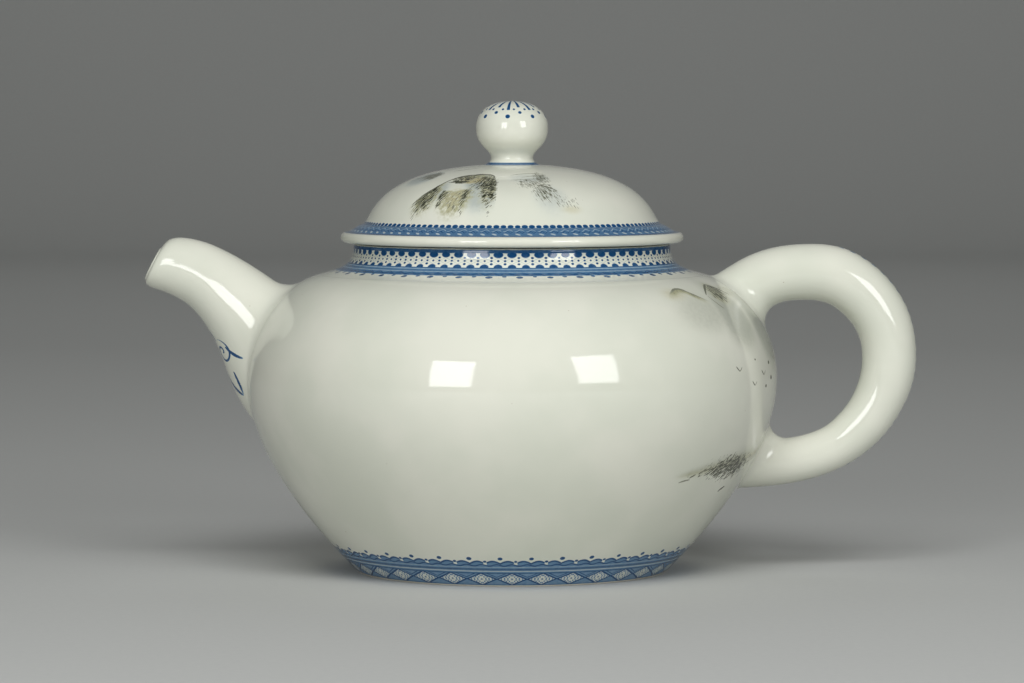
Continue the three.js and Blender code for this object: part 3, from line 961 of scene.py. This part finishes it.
def bumped(tree, shader, height, distance, strength=1.0):
    """Gives a shader a bump, with its depth in metres."""
    bump = tree.nodes.new("ShaderNodeBump")
    bump.inputs["Distance"].default_value = distance
    bump.inputs["Strength"].default_value = strength
    feed(bump.inputs["Height"], height)
    feed(shader.inputs["Normal"], Level(bump.outputs["Normal"]))


def glazed(name, paint=None, bare_below=None):
    """A glaze material. paint(place, ground) gives the colour with the painting on it."""
    material, tree, shader = fresh_material(name)
    place = Place(tree)
    node = tree.nodes.new("ShaderNodeGroup")
    node.node_tree = glaze_group
    colour, roughness, ripple = (Level(o) for o in node.outputs)
    if paint:
        colour = paint(place, colour)
    if bare_below:
        glazed_part = place.height.rising(bare_below - 0.1, bare_below + 0.1)
        colour = blended(tree, glazed_part, BISCUIT, colour)
        roughness = roughness * glazed_part + (-glazed_part + 1) * 0.6
    feed(shader.inputs["Base Color"], colour)
    feed(shader.inputs["Roughness"], roughness)
    bumped(tree, shader, ripple, 0.00003, 0.6)
    shader.inputs["IOR"].default_value = GLAZE_IOR
    print("material:", name)
    return material


plain_glaze = glazed("plain_glaze")

# %% [markdown]
# ## The knob
# The knob carries a flower: eight long tapering rays that each end in a big dot, eight short ones between
# them that end in a smaller dot, and sixteen small dots that fill the edge.


# %% Paint the knob
BIG_RAYS = 0.164
SMALL_RAYS = 0.675
SMALL_DOTS = 0.83


def knob_painting(place, ground):
    """The flower on top of the knob, and the blue ring at its foot."""
    rays = []
    half = place.radius * 0.04 + 0.09
    for shift, tip in ((BIG_RAYS, 6.3), (SMALL_RAYS, 5.6)):
        beside = ((place.turn / 45 + shift + 0.5).math("FRACT") - 0.5) * (math.tau / 8) * place.radius
        rays.append((half - abs(beside)).rising(-0.06, 0.08) * (-place.radius).rising(-tip - 0.1, -tip + 0.1))
    rays += [
        ring_dots(place, 8, 100.05, 0.98, 0.85, 7.2, BIG_RAYS),
        ring_dots(place, 8, 100.9, 0.78, 0.62, 6.5, SMALL_RAYS),
        ring_dots(place, 16, 101.6, 0.5, 0.4, 5.8, SMALL_DOTS),
    ]
    top = place.height.rising(KNOB_EQUATOR, KNOB_EQUATOR + 0.2)
    foot = place.radius.rising(4.9, 5.2) * (-place.height).rising(-CROWN - 0.42, -CROWN - 0.2)
    return painted(place.tree, ground, COBALT, (layered(rays) * top).either(foot * 0.85))


knob_glaze = glazed("knob_glaze", knob_painting)

# %% [markdown]
# ## The neck's border
# The richest border is on the neck, just under the lid: big drops hang from a solid blue strip, small dots
# fill the ground below them in a staggered net, half round petals stand on a line, and plain strips, a row of
# waves and pairs of drops lead down to the white shoulder.

# %% Paint the neck
NECK_REPEATS = 76
NET_MIDDLE = 69.5
SHOULDER_DROPS_RADIUS = 40.4


def neck_painting(place, ground):
    """The border of the neck."""
    n, ring, height = NECK_REPEATS, NECK_RADIUS, place.height
    strips = height.within(67.25, 0.8, 0.1) * 0.62
    for gap in (67.78, 67.22):
        strips = strips * (ring_line(place, gap, 0.17, 0.02) * -0.6 + 1)
    leaf = zigzag(place, n, 0.3)
    inks = [
        strips,
        ring_line(place, 71.5, 0.75, 0.02) * 0.9,
        ring_dots(place, n, 70.8, 2.0, 1.3, ring),
        ring_dots(place, n, NET_MIDDLE + 0.65, 0.62, 0.44, ring, 0.5),
        ring_dots(place, 2 * n, NET_MIDDLE, 0.52, 0.42, ring),
        ring_dots(place, n, NET_MIDDLE - 0.65, 0.62, 0.44, ring, 0.5),
        ring_dots(place, n, 68.12, 1.75, 1.25, ring) * height.rising(68.0, 68.1),
        ring_line(place, 68.03, 0.16, 0.02),
        ring_line(place, 67.5, 0.12, 0.02) * 0.85,
        ring_dots(place, n / 2, 66.2, 1.5, 0.4, SHOULDER_DROPS_RADIUS + 0.2, -0.25, 0.2),
        ring_dots(place, n / 2, 66.34, 1.0, 0.3, SHOULDER_DROPS_RADIUS - 0.2, 0.25, 0.2) * 0.8,
        (height - 66.72 + wave(place, n, 0.07)).within(0, 0.1, 0.08) * 0.95,
        (height - 66.9 - (leaf - 0.25) * 0.7).within(0, 0.07, 0.06) * 0.9,
    ]
    for side in (1, -1):
        thread = (place.turn / 360 * n + (height - NET_MIDDLE) * 0.78 * side).math("FRACT") - 0.5
        inks.append(thread.within(0, 0.04, 0.05) * height.within(NET_MIDDLE, 0.75, 0.2) * 0.2)
    return painted(place.tree, ground, COBALT, layered(inks) * outside(place))


neck_glaze = glazed("neck_glaze", neck_painting)

# %% [markdown]
# ## The foot's border
# The foot has a cloud collar: scallops with a big dot over each join, a wavy line and blue lines under them,
# and then a row of diamonds on the ring itself, each with a small white flower. The very edge that stands on
# the table is wiped free of glaze before firing, or it would stick to the kiln shelf. The upper part of the
# border lies on the body and the lower part on the foot ring, so one function paints both.

# %% Paint the foot's border
FOOT_REPEATS = 38
DIAMONDS = 35
FOOT_SHIFT = 0.38
COLLAR_RADIUS = 38.5
DIAMOND_MIDDLE = 1.8
DIAMOND_RADIUS = 36


def cloud_collar(place):
    """The scallops, dots and lines of the upper part of the border."""
    n, height = FOOT_REPEATS, place.height
    swing = (place.turn * n + 360 * FOOT_SHIFT).math("RADIANS")
    cloud = height - 5.5 - abs(swing.math("SINE")) * 0.55
    gap = zigzag(place, n, FOOT_SHIFT).rising(0.035, 0.085)
    strip = height.within(4.2, 1.02, 0.1) * 0.52
    strip = strip * (ring_line(place, 3.66, 0.26, 0.02) * -0.65 + 1)
    strip = strip * (ring_line(place, 4.62, 0.22, 0.02) * -0.5 + 1)
    return [
        strip,
        ring_dots(place, n, 6.62, 1.0, 0.7, COLLAR_RADIUS, FOOT_SHIFT),
        ring_dots(place, n, 5.95, 0.7, 0.5, COLLAR_RADIUS, FOOT_SHIFT + 0.5),
        cloud.within(-0.05, 0.2, 0.12) * gap,
        (-cloud).rising(0, 0.15) * height.rising(5.0, 5.2) * gap * 0.45,
        ring_line(place, 4.15, 0.3, 0.03) * 0.9,
        (height - 5.08 + (swing * 2).math("SINE") * 0.17).within(0, 0.16, 0.1),
    ]


def diamond_row(place):
    """The diamonds on the ring, with their flowers, and the lines above and below them."""
    run = zigzag(place, DIAMONDS, 0.5) * (2 * math.pi * DIAMOND_RADIUS / DIAMONDS)
    off = abs(place.height - DIAMOND_MIDDLE)
    diamond = run / 3.15 + off / 1.4
    upper = place.height.rising(DIAMOND_MIDDLE, DIAMOND_MIDDLE + 0.1)
    petals = (off.math("ARCTAN2", run) * 6).math("COSINE")
    flower = length(run, off) / (petals * 0.24 + 0.62)
    speckle = ((run * 9).math("SINE") * (off * 9).math("SINE")).rising(-0.2, 0.6) * 0.4 + 0.1
    inks = [
        (diamond - 1).within(0, 0.12, 0.08),
        (diamond - 1.36).within(0, 0.08, 0.07) * upper * 0.9,
        diamond.rising(0.95, 1.05) * 0.36,
        speckle * flower.rising(0.75, 0.95) * (-diamond).rising(-1, -0.92),
        (-flower).rising(-0.42, -0.2) * 0.8,
    ]
    band = place.height.within(DIAMOND_MIDDLE, 1.42, 0.08)
    return [layered(inks) * band, ring_line(place, 3.2, 0.24, 0.02), ring_line(place, 0.42, 0.18, 0.02)]


def foot_border(place):
    """The ink of the border round the foot."""
    return layered(cloud_collar(place) + diamond_row(place))


def foot_painting(place, ground):
    """The border on the foot ring."""
    return painted(place.tree, ground, COBALT, foot_border(place))


foot_glaze = glazed("foot_glaze", foot_painting, bare_below=0.22)

# %% [markdown]
# ## Brush work for the landscape
# The landscape is drawn with a half-dry brush: outlines that break up, short slanted strokes that shade the
# rock, and pale washes. Single strokes are a group of their own. The hatching is a noise that is stretched
# along the strokes: where more ink is asked for, more of its peaks show, so a patch ends in loose strokes
# and not at a hard edge.

# %% Group: one brush stroke
stroke_group, given, stroke_out = new_group(
    "Brush stroke",
    {"Across": 0.0, "Height": 0.0, "From x": 0.0, "From y": 0.0, "To x": 1.0, "To y": 0.0}
    | {"Width": 0.3, "Bow": 0.0},
    {"Ink": "Float"},
)
run_x, run_y = given["To x"] - given["From x"], given["To y"] - given["From y"]
off_x, off_y = given["Across"] - given["From x"], given["Height"] - given["From y"]
long = length(run_x, run_y)
along = (off_x * run_x + off_y * run_y) / (long * long)
aside = (off_y * run_x - off_x * run_y) / long
belly = along * (-along + 1)
aside = aside - belly * given["Bow"] * 4
taper = (belly.math("MAXIMUM", 0) * 4).math("POWER", 0.35) * given["Width"] / 2
dry = noise(stroke_group, Place(stroke_group).spot, 1.6, 3) * 0.7 + 0.65
feed(stroke_out["Ink"], (taper * dry - abs(aside)).rising(-0.03, 0.08) * belly.rising(0, 0.02))

# %% Group: hatching
hatch_group, given, hatch_out = new_group(
    "Brush hatching",
    {"Across": 0.0, "Height": 0.0, "Lean": 60.0, "Fine": 0.4, "Long": 2.2, "Amount": 0.5},
    {"Ink": "Float"},
)
lean = given["Lean"].math("RADIANS")
cosine, sine = lean.math("COSINE"), lean.math("SINE")
over = (given["Across"] * sine - given["Height"] * cosine) / given["Fine"]
onward = (given["Across"] * cosine + given["Height"] * sine) / given["Long"]
bristles = noise(hatch_group, point(hatch_group, over, onward), 0.9, 2)
showing = (bristles + given["Amount"] * 0.5).rising(0.85, 0.96)
feed(hatch_out["Ink"], showing * given["Amount"].rising(0, 0.15))
print("groups:", stroke_group.name, "and", hatch_group.name)


# %% Patches, strokes and washes
def patch(across, height, middle, half, soft=1.0):
    """A soft oval patch: 1 in its middle and 0 outside it."""
    reach = length((across - middle[0]) / half[0], (height - middle[1]) / half[1])
    return (-reach).rising(-1 - soft * 0.5, -1 + soft * 0.5)


def patches(across, height, *rows):
    """Patches laid over each other: each is x, y, half width, half height, softness and strength."""
    return layered([patch(across, height, (x, y), (w, h), soft) * ink for x, y, w, h, soft, ink in rows])


def stroke(across, height, start, end, width, bow=0.0):
    """One brush stroke between two places."""
    ends = {"from_x": start[0], "from_y": start[1], "to_x": end[0], "to_y": end[1]}
    return use(across.tree, stroke_group, "Ink", across=across, height=height, width=width, bow=bow, **ends)


def strokes(across, height, *rows):
    """A list of strokes: each is its start, its end, its width, its bow and its strength."""
    return [stroke(across, height, start, end, width, bow) * ink for start, end, width, bow, ink in rows]


def hatching(across, height, lean, fine, long, amount):
    """Slanted strokes where the amount is high."""
    shape = {"lean": lean, "fine": fine, "long": long}
    return use(across.tree, hatch_group, "Ink", across=across, height=height, amount=amount, **shape)


def outline(across, off, width, waver=0.2):
    """A broken outline where off is near 0."""
    return use(across.tree, line_group, "Ink", height=off, centre=0.0, width=width, waver=waver)


print("brushes ready")

# %% [markdown]
# ## The lid's border and mountains
# The lid has a string of dark beads, a mid-blue strip with flowing leaves, and a white rim. On the dome
# a steep mountain stands left of the front and a lower one fades out to the right of it. The dome is
# painted as seen from above: across is measured round the lid, and height runs from the dome's edge up
# towards the knob.

# %% Paint the lid's border
LID_BEADS = 135
LID_LEAVES = 88


def lid_border(place):
    """The ink of the border on the lid's edge."""
    band = place.height.within((DOME_BASE + LID_BASE + 2.3) / 2, (DOME_BASE - LID_BASE - 2.0) / 2, 0.12)
    up = place.height - (LID_BASE + 2.75)
    flow = wave(place, LID_LEAVES, 0.2)
    leaves = length(zigzag(place, LID_LEAVES) * 2 / 0.5, (up - flow * 0.5) / 0.17)
    stems = (up - 0.72 + flow).within(0, 0.07, 0.1)
    blades = (up - 0.42 - wave(place, 2 * LID_LEAVES, 0.16)).within(0, 0.07, 0.1)
    pale = (-leaves).rising(-1.2, -0.7).either(stems * 0.9)
    inks = [
        ring_dots(place, LID_BEADS, DOME_BASE + 0.4, 1.3, 0.72, 33.0, 0.2),
        ring_line(place, LID_BASE + 2.36, 0.18, 0.02),
        ring_line(place, DOME_BASE + 0.12, 0.13, 0.02) * 0.8,
        band * (pale * -0.42 + 0.62 + blades * 0.35) * place.radius.rising(32.9, 33.1),
    ]
    return layered(inks)


# %% Paint the left mountain of the lid
MM_PER_DEGREE_LID = 0.44
LEFT_SLOPE = [(-50, 1.2), (-47, 3.6), (-44, 5.6), (-40, 8.6), (-36, 11.8), (-32, 13.5), (-25, 14.4)]
RIGHT_SLOPE = [(-18, 15.0), (-13, 14.4), (-9.5, 11.8), (-7.4, 7.0), (-6, 1.5)]


def left_mountain(place, ground):
    """The steep mountain left of the front of the lid."""
    tree, turn, rise = place.tree, place.turn, -place.radius + DOME_RADIUS
    across = turn * MM_PER_DEGREE_LID
    inside = turn.within(-28.2, 21.3, 0.8)
    below = profile(tree, turn, LEFT_SLOPE + RIGHT_SLOPE) - rise
    rock = below.rising(-0.2, 0.6) * inside
    mist = patch(turn, rise, (-29, 8.4), (7.5, 1.5), 0.7)
    grainy = noise(tree, place.spot, 1.3, 3).rising(0.3, 0.7) * 0.7 + 0.3

    wash = patches(turn, rise, (-15, 11, 10, 4.5, 1, 1), (-40, 7, 8, 3.5, 1, 0.7), (-14.5, 6, 8, 3.5, 1, 0.7))
    olive = [(-41, 6.2, 6, 3.6, 1.4, 0.8), (-26, 5.6, 7, 3.2, 1.4, 0.85)]
    olive += [(-22, 12.6, 13, 2.2, 1.4, 0.7), (-11, 9, 5, 5, 1.4, 0.6)]
    olive = patches(turn, rise, *olive) * (-mist + 1)
    ochre = patches(turn, rise, (-22.5, 11.2, 8, 1.5, 1, 1), (-26.5, 5.2, 4, 2.6, 1.4, 0.5))
    colour = painted(tree, ground, BLUE_WASH, wash * rock * 0.55)
    colour = painted(tree, colour, OLIVE_WASH, olive * grainy * rock * 0.85)
    colour = painted(tree, colour, OCHRE_WASH, ochre * grainy * rock * 0.62)

    shaded = [(-41.5, 5.8, 7, 4.6, 1.2, 0.86), (-32.7, 6.3, 2.6, 3.8, 1.2, 0.84)]
    shaded += [(-27, 5.0, 5, 3.4, 1.2, 0.62), (-21.7, 6.4, 2.4, 4.4, 1.2, 0.84)]
    shaded += [(-14, 10.8, 8, 4.6, 1.2, 0.84), (-30, 12.4, 12, 1.9, 1.2, 0.86)]
    amount = patches(turn, rise, *shaded).either(rock * rise.rising(2, 5) * 0.48) * (-mist * 0.9 + 1)
    ledge = patch(turn, rise, (-29.5, 10.3), (7, 0.8)) * 0.95
    cheek = patch(turn, rise, (-10.8, 7.6), (5, 5.4), 1.2) * 0.84
    inks = [
        hatching(across, rise, 62, 0.17, 1.25, amount) * rock,
        hatching(across, rise, 40, 0.18, 1.0, cheek) * inside,
        hatching(across, rise, 8, 0.24, 1.5, ledge) * inside,
        outline(across, below - 0.2, 0.75, 0.45) * turn.within(-27, 17, 4) * 0.85,
    ]
    return painted(tree, colour, INK, layered(inks) * 0.95)


# %% Paint the right mountain and the far peaks of the lid
def right_mountain(place, ground):
    """The pale mountain right of the front, and the two faint peaks at the left."""
    tree, turn, rise = place.tree, place.turn, -place.radius + DOME_RADIUS
    across = turn * MM_PER_DEGREE_LID
    haze = [(-64, 12.0, 11, 3.6, 1.2, 1), (10, 12.6, 12, 2.6, 1.2, 0.55), (17, 5.5, 8, 3.5, 1.2, 0.5)]
    colour = painted(tree, ground, BLUE_WASH, patches(turn, rise, *haze) * 0.5)
    colour = painted(tree, colour, OCHRE_WASH, patch(turn, rise, (25, 2.9), (4.5, 0.6), 1.6) * 0.2)
    clumps = [(17.5, 12.8, 5.5, 4.2, 1.3, 0.86), (9.5, 9.8, 10, 2.6, 1.3, 0.74)]
    clumps += [(15.5, 7.2, 7, 3.8, 1.3, 0.8), (22.5, 4.4, 9, 2.1, 1.3, 0.6)]
    far_peak = patch(turn, rise, (-60, 13.2), (11, 3.0), 1.3) * 0.98
    inks = strokes(
        across,
        rise,
        ((-0.6, 14.1), (9.6, 15.3), 0.3, 0.7, 0.6),
        ((-0.4, 11.4), (6.6, 11.9), 0.22, 0.1, 0.5),
        ((2.2, 12.8), (8.2, 13.4), 0.26, 0.4, 0.5),
        ((5.6, 9.0), (9.4, 7.1), 0.42, 0.3, 0.8),
        ((-31.5, 10.2), (-25.2, 14.2), 0.5, 0.8, 0.6),
        ((-23.0, 16.6), (-14.8, 20.8), 0.45, 0.4, 0.5),
    )
    inks.append(hatching(across, rise, 118, 0.16, 1.0, patches(turn, rise, *clumps)) * 0.75)
    inks.append(hatching(across, rise, 32, 0.24, 2.4, far_peak) * 0.75)
    return painted(tree, colour, INK, layered(inks) * 0.85)


# %% The lid's glaze
def lid_painting(place, ground):
    """The mountains on the dome and the border on its edge."""
    mountains = right_mountain(place, left_mountain(place, ground))
    colour = blended(place.tree, outside(place), ground, mountains)
    outer = place.height.rising(LID_BASE + 2.2, LID_BASE + 2.25) * outside(place)
    return painted(place.tree, colour, COBALT, lid_border(place) * outer)


lid_glaze = glazed("lid_glaze", lid_painting)

# %% [markdown]
# ## The body's landscape
# The front and left of the body stay white. Round to the right, towards the handle, a cliff hangs from the
# shoulder with mist under it, a few birds fly below, and a reedy shore runs under them. The shore and the
# cliff go on a little way past the handle and fade out.

# %% Paint the cliff and the mist
SOFT_MIST = ((0.31, 0.33, 0.285, 1), (0.61, 0.625, 0.525, 1))
HILL = [(42, 61.6), (45, 62.9), (48.8, 63.45), (52, 62.3), (55, 61.1), (59, 59.8)]


def cliff(place, ground):
    """The cliff and the far hill under the shoulder."""
    tree, turn, height = place.tree, place.turn, place.height
    mist = [(51, 58.5, 10, 4.5, 1.4, 0.5), (63, 57.5, 7, 6.5, 1.3, 0.85)]
    mist += [(78, 54.5, 7, 7.5, 1.3, 0.9), (104, 58, 12, 5, 1.4, 0.7)]
    rock = [(64.5, 62, 4.5, 2.2, 1, 0.85), (72, 62.3, 6, 1.3, 1, 0.6), (103, 62, 9, 2, 1, 0.8)]
    rock = patches(turn, height, *rock)
    below = profile(tree, turn, HILL) - height
    shade = below.rising(-0.1, 0.1) * (-below).rising(-1.6, -0.2) * turn.within(49, 5.5, 5)
    colour = painted(tree, ground, SOFT_MIST, patches(turn, height, *mist) * 0.55)
    colour = painted(tree, colour, OCHRE_WASH, patch(turn, height, (45, 62.4), (4, 1.2), 1.6) * 0.2)
    colour = painted(tree, colour, OLIVE_WASH, shade.either(rock * 0.8) * 0.4)
    inks = strokes(
        turn,
        height,
        ((57.6, 61.9), (64.4, 63.9), 0.4, 0.3, 0.8),
        ((57.8, 61.8), (60.4, 59.0), 0.4, -0.25, 0.4),
        ((64.2, 63.9), (70.8, 61.6), 0.4, 0.25, 0.8),
        ((96.5, 61), (112, 60.2), 0.5, 1.6, 0.8),
    )
    inks.append(outline(turn, below, 0.34, 0.12) * turn.within(49.6, 5.5, 5) * 0.5)
    inks.append(hatching(turn, height, 60, 0.26, 0.8, shade * 0.66) * 0.6)
    inks.append(hatching(turn, height, 128, 0.3, 1.3, rock) * 0.85)
    return painted(tree, colour, INK, layered(inks) * 0.75)


# %% Paint the birds and the shore
BIRDS = [(56.6, 46.2, 1.25), (63.2, 42.8, 1.2), (68.7, 44.8, 1.35), (79.5, 47.6, 1.1), (98, 45.4, 1.2)]
FAR_BIRDS = [(73.2, 46.9, 0.55), (74.2, 43.6, 0.65), (70.0, 42.0, 0.5), (64.5, 48.0, 0.3)]
SHORE_START = 40
SHORE_HEIGHT = 23.6


def birds_and_shore(place, ground):
    """Birds in flight as small hooks, and the shore with its reeds."""
    tree, turn, height = place.tree, place.turn, place.height
    shore = height - (turn - SHORE_START) * 0.075 - SHORE_HEIGHT
    reach = turn.rising(38, 46) * (-turn).rising(-112, -98)
    deep = turn.rising(38, 64) * 1.7 + 0.8
    amount = (-abs(shore) / deep).rising(-1.25, -0.1) * reach
    thick = patch(turn, height, (61, 24.9), (13, 3.5), 1.3) * 0.72
    colour = painted(tree, ground, SOFT_MIST, (shore / deep).within(0.7, 0.1, 3.4) * reach * 0.6)
    colour = painted(tree, colour, OLIVE_WASH, (shore / deep).within(0.3, 0.1, 2.6) * reach * 0.5)
    rows = [((42.4, 22.6), (46, 23.1), 0.4, 0.1, 0.45), ((61.6, 19.4), (64.2, 20.4), 0.55, 0.1, 1)]
    for x, z, size in BIRDS:
        rows.append(((x - size, z + 0.6 * size), (x + 0.1, z - 0.3 * size), 0.3, -0.04, 1))
        rows.append(((x - 0.1, z - 0.25 * size), (x + 0.9 * size, z + 0.45 * size), 0.22, -0.1, 0.8))
    inks = strokes(turn, height, *rows)
    inks.append(patches(turn, height, *((x, z, size, size * 0.7, 0.5, 0.75) for x, z, size in FAR_BIRDS)))
    inks.append(hatching(turn, height, 24, 0.34, 1.7, (amount * 0.7).either(thick + amount * 0.2)) * 0.95)
    inks.append(hatching(turn, height, 58, 0.36, 1.9, thick) * 0.8)
    return painted(tree, colour, INK, layered(inks) * 0.85)


# %% The body's glaze
def body_painting(place, ground):
    """The landscape on the outside, and the upper part of the foot's border."""
    landscape = blended(place.tree, outside(place), ground, birds_and_shore(place, cliff(place, ground)))
    outer = place.radius.rising(FOOT_INNER + 2.0, FOOT_INNER + 2.2) * (-place.height).rising(-9, -8.5)
    return painted(place.tree, landscape, COBALT, foot_border(place) * outer)


body_glaze = glazed("body_glaze", body_painting)

# %% [markdown]
# ## The spout and the handle
# The spout has a blue scroll with a leaf under it on each side of its underside, and the handle a thin blue
# vine down its outer side. Both are mirrored about the plane through the spout and the handle, so the
# distance from that plane is used without its sign.


# %% Paint the spout
COIL_MIDDLE = (4.0, 48.4)
COIL_STEP = 1.9


def spout_painting(place, ground):
    """The scroll and the leaves under the spout."""
    aside, height = abs(place.depth), place.height
    dx, dz = aside - COIL_MIDDLE[0], height - COIL_MIDDLE[1]
    reach = length(dx, dz)
    winding = reach / COIL_STEP + dx.math("ARCTAN2", dz) / math.tau
    inks = strokes(
        aside,
        height,
        ((5.6, 49.6), (9.0, 47.2), 0.75, -0.3, 1),
        ((1.2, 43.2), (6.3, 38.9), 1.0, -0.4, 1),
        ((5.9, 44.2), (6.3, 39.1), 0.8, 0.3, 1),
        ((0.2, 53.6), (2.6, 50.6), 0.55, 0.3, 0.8),
    )
    inks.append((winding.math("FRACT") - 0.5).within(0, 0.12, 0.1) * (-reach).rising(-2.75, -2.6))
    inks.append(aside.within(0, 0.22, 0.1) * height.within(46, 8, 1.5) * 0.7)
    under = (-place.across).rising(58.5, 59.5)
    return painted(place.tree, ground, COBALT, layered(inks) * under)


spout_glaze = glazed("spout_glaze", spout_painting)


# %% Paint the handle
HANDLE_MIDDLE = (67.0, 45.5)
VINE_RADIUS = 24
VINE_WAVE = 1.25


def handle_painting(place, ground):
    """The vine down the outer side of the handle."""
    dx, dz = place.across - HANDLE_MIDDLE[0], place.height - HANDLE_MIDDLE[1]
    outer = length(dx, dz).rising(19.5, 20.5) * place.across.rising(70, 76)
    along = dz.math("ARCTAN2", dx) * VINE_RADIUS * VINE_WAVE
    vine = (place.depth + along.math("SINE") * 0.35).within(0, 0.26, 0.12)
    leaf = length((along / math.pi - 0.5).math("FRACT") - 0.5, (abs(place.depth) - 0.9) / 2.2)
    leaves = (-leaf).rising(-0.3, -0.2)
    return painted(place.tree, ground, COBALT, (vine * 0.9).either(leaves * 0.6) * outer)


handle_glaze = glazed("handle_glaze", handle_painting)

# %% [markdown]
# ## Bare porcelain
# The flange under the lid is left unglazed, because it would fuse to the neck in the kiln. Bare porcelain is
# chalky and warmer than the glaze, with a fine grain and faint turning marks from the trimming tool.


# %% The bare porcelain
PALE_BISCUIT = (0.76, 0.73, 0.65, 1)
bare, bare_tree, bare_shader = fresh_material("bare_porcelain")
bare_place = Place(bare_tree)
cloud = noise(bare_tree, bare_place.spot, 0.25, 3)
grain = noise(bare_tree, bare_place.spot, 4.0, 3)
turning_marks = noise(bare_tree, point(bare_tree, 0.0, bare_place.radius * 3, bare_place.height * 3), 1.0, 2)
feed(bare_shader.inputs["Base Color"], blended(bare_tree, cloud, BISCUIT, PALE_BISCUIT))
feed(bare_shader.inputs["Roughness"], grain * 0.2 + 0.5)
bumped(bare_tree, bare_shader, turning_marks + grain * 0.5, 0.00005)
print("material:", bare.name)

# %% [markdown]
# ## Fasten every piece
# Each fine piece stands for one imported solid, takes its glaze, and rides with the pot or the
# lid.

# %% Put on the glazes and fasten the pieces
PIECES = [
    (body, "pot_body", "pot", "body_glaze", body_glaze),
    (foot_ring, "foot_ring", "pot", "foot_glaze", foot_glaze),
    (neck, "neck_collar", "pot", "neck_glaze", neck_glaze),
    (strainer, "strainer", "pot", "inner_glaze", plain_glaze),
    (spout, "spout", "pot", "spout_glaze", spout_glaze),
    (handle, "handle", "pot", "handle_glaze", handle_glaze),
    (lid, "lid_dome", "lid", "lid_glaze", lid_glaze),
    (flange, "lid_flange", "lid", "bare_porcelain", bare),
    (knob, "knob", "lid", "knob_glaze", knob_glaze),
]
for piece, node_name, ridden, slot_name, glaze_material in PIECES:
    piece.data.materials.clear()
    piece.data.materials.append(glaze_material)
    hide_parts(node_name)
    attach(piece, ridden)
print(len(PIECES), "pieces fastened")

# %% [markdown]
# ## The studio
# A glossy white pot shows the whole room in its glaze, so the room is kept plain: a pale sweep that runs
# from the table up behind the pot, a soft grey surround, and two small windows of light in front, one on
# each side. Those two give the square glints on the belly and the long streaks on the spout and handle. Three
# wide soft lamps fill in the front, the back and the sweep, and are left out of the reflections.

# %% The pale sweep
SWEEP_BACK = 1900
SWEEP_BEND = 500
SWEEP_SIDE = 2600
PAPER_DARK = (0.50, 0.51, 0.50, 1)
PAPER_PALE = (0.54, 0.55, 0.53, 1)
bend = arc((SWEEP_BACK, SWEEP_BEND), SWEEP_BEND, -90, 0, 24)
sweep_line = np.vstack([[(-SWEEP_SIDE, 0)], bend, [(SWEEP_BACK + SWEEP_BEND, SWEEP_SIDE)]])
sweep_points = [(side, depth, height) for depth, height in sweep_line for side in (-SWEEP_SIDE, SWEEP_SIDE)]
sweep_faces = [(2 * i, 2 * i + 1, 2 * i + 3, 2 * i + 2) for i in range(len(sweep_line) - 1)]
sweep = object_from("floor_sweep", sweep_points, sweep_faces)
paper, paper_tree, paper_shader = fresh_material("pale_paper")
fibres = noise(paper_tree, Place(paper_tree).spot, 0.6, 4)
feed(paper_shader.inputs["Base Color"], blended(paper_tree, fibres, PAPER_DARK, PAPER_PALE))
paper_shader.inputs["Roughness"].default_value = 0.9
sweep.data.materials.append(paper)
print("sweep", len(sweep.data.polygons), "faces")

# %% The surround and the lamps
world = bpy.data.worlds.new("surround")
bpy.context.scene.world = world
world.use_nodes = True
surround = world.node_tree.nodes["Background"]
surround.inputs["Color"].default_value = (0.93, 0.96, 0.93, 1)
surround.inputs["Strength"].default_value = 0.05
bpy.context.scene.view_settings.view_transform = "Standard"
ON_BELLY = (AXIS, 0, BELLY_HEIGHT)
ON_BACKDROP = (AXIS, 2300, 500)


def lamp(name, azimuth, elevation, distance, size, power, aim=ON_BELLY, glint=True):
    """A soft rectangular lamp that faces its aim. Azimuth 0 is in front, and plus is to the right."""
    light = bpy.data.lights.new(name, "AREA")
    light.shape = "RECTANGLE"
    light.size, light.size_y = (s * MM for s in size)
    light.energy = power
    made = bpy.data.objects.new(name, light)
    turn, lift = math.radians(azimuth), math.radians(elevation)
    away = Vector((math.sin(turn) * math.cos(lift), -math.cos(turn) * math.cos(lift), math.sin(lift)))
    made.location = (Vector(aim) + away * distance) * MM
    made.rotation_euler = away.to_track_quat("Z", "Y").to_euler()
    made.visible_glossy = glint
    bpy.context.scene.collection.objects.link(made)


lamp("left_window", -25.5, 14.5, 900, (280, 370), 2.3)
lamp("right_window", 36.3, 18, 900, (280, 390), 2.3)
lamp("front_fill", 0, 46, 1300, (900, 600), 9.0, glint=False)
lamp("back_fill", 180, 42, 1300, (900, 600), 1.8, glint=False)
lamp("backdrop_wash", 0, 25, 1100, (1600, 300), 3, ON_BACKDROP, glint=False)

# %% Update the scene
bpy.context.view_layer.update()
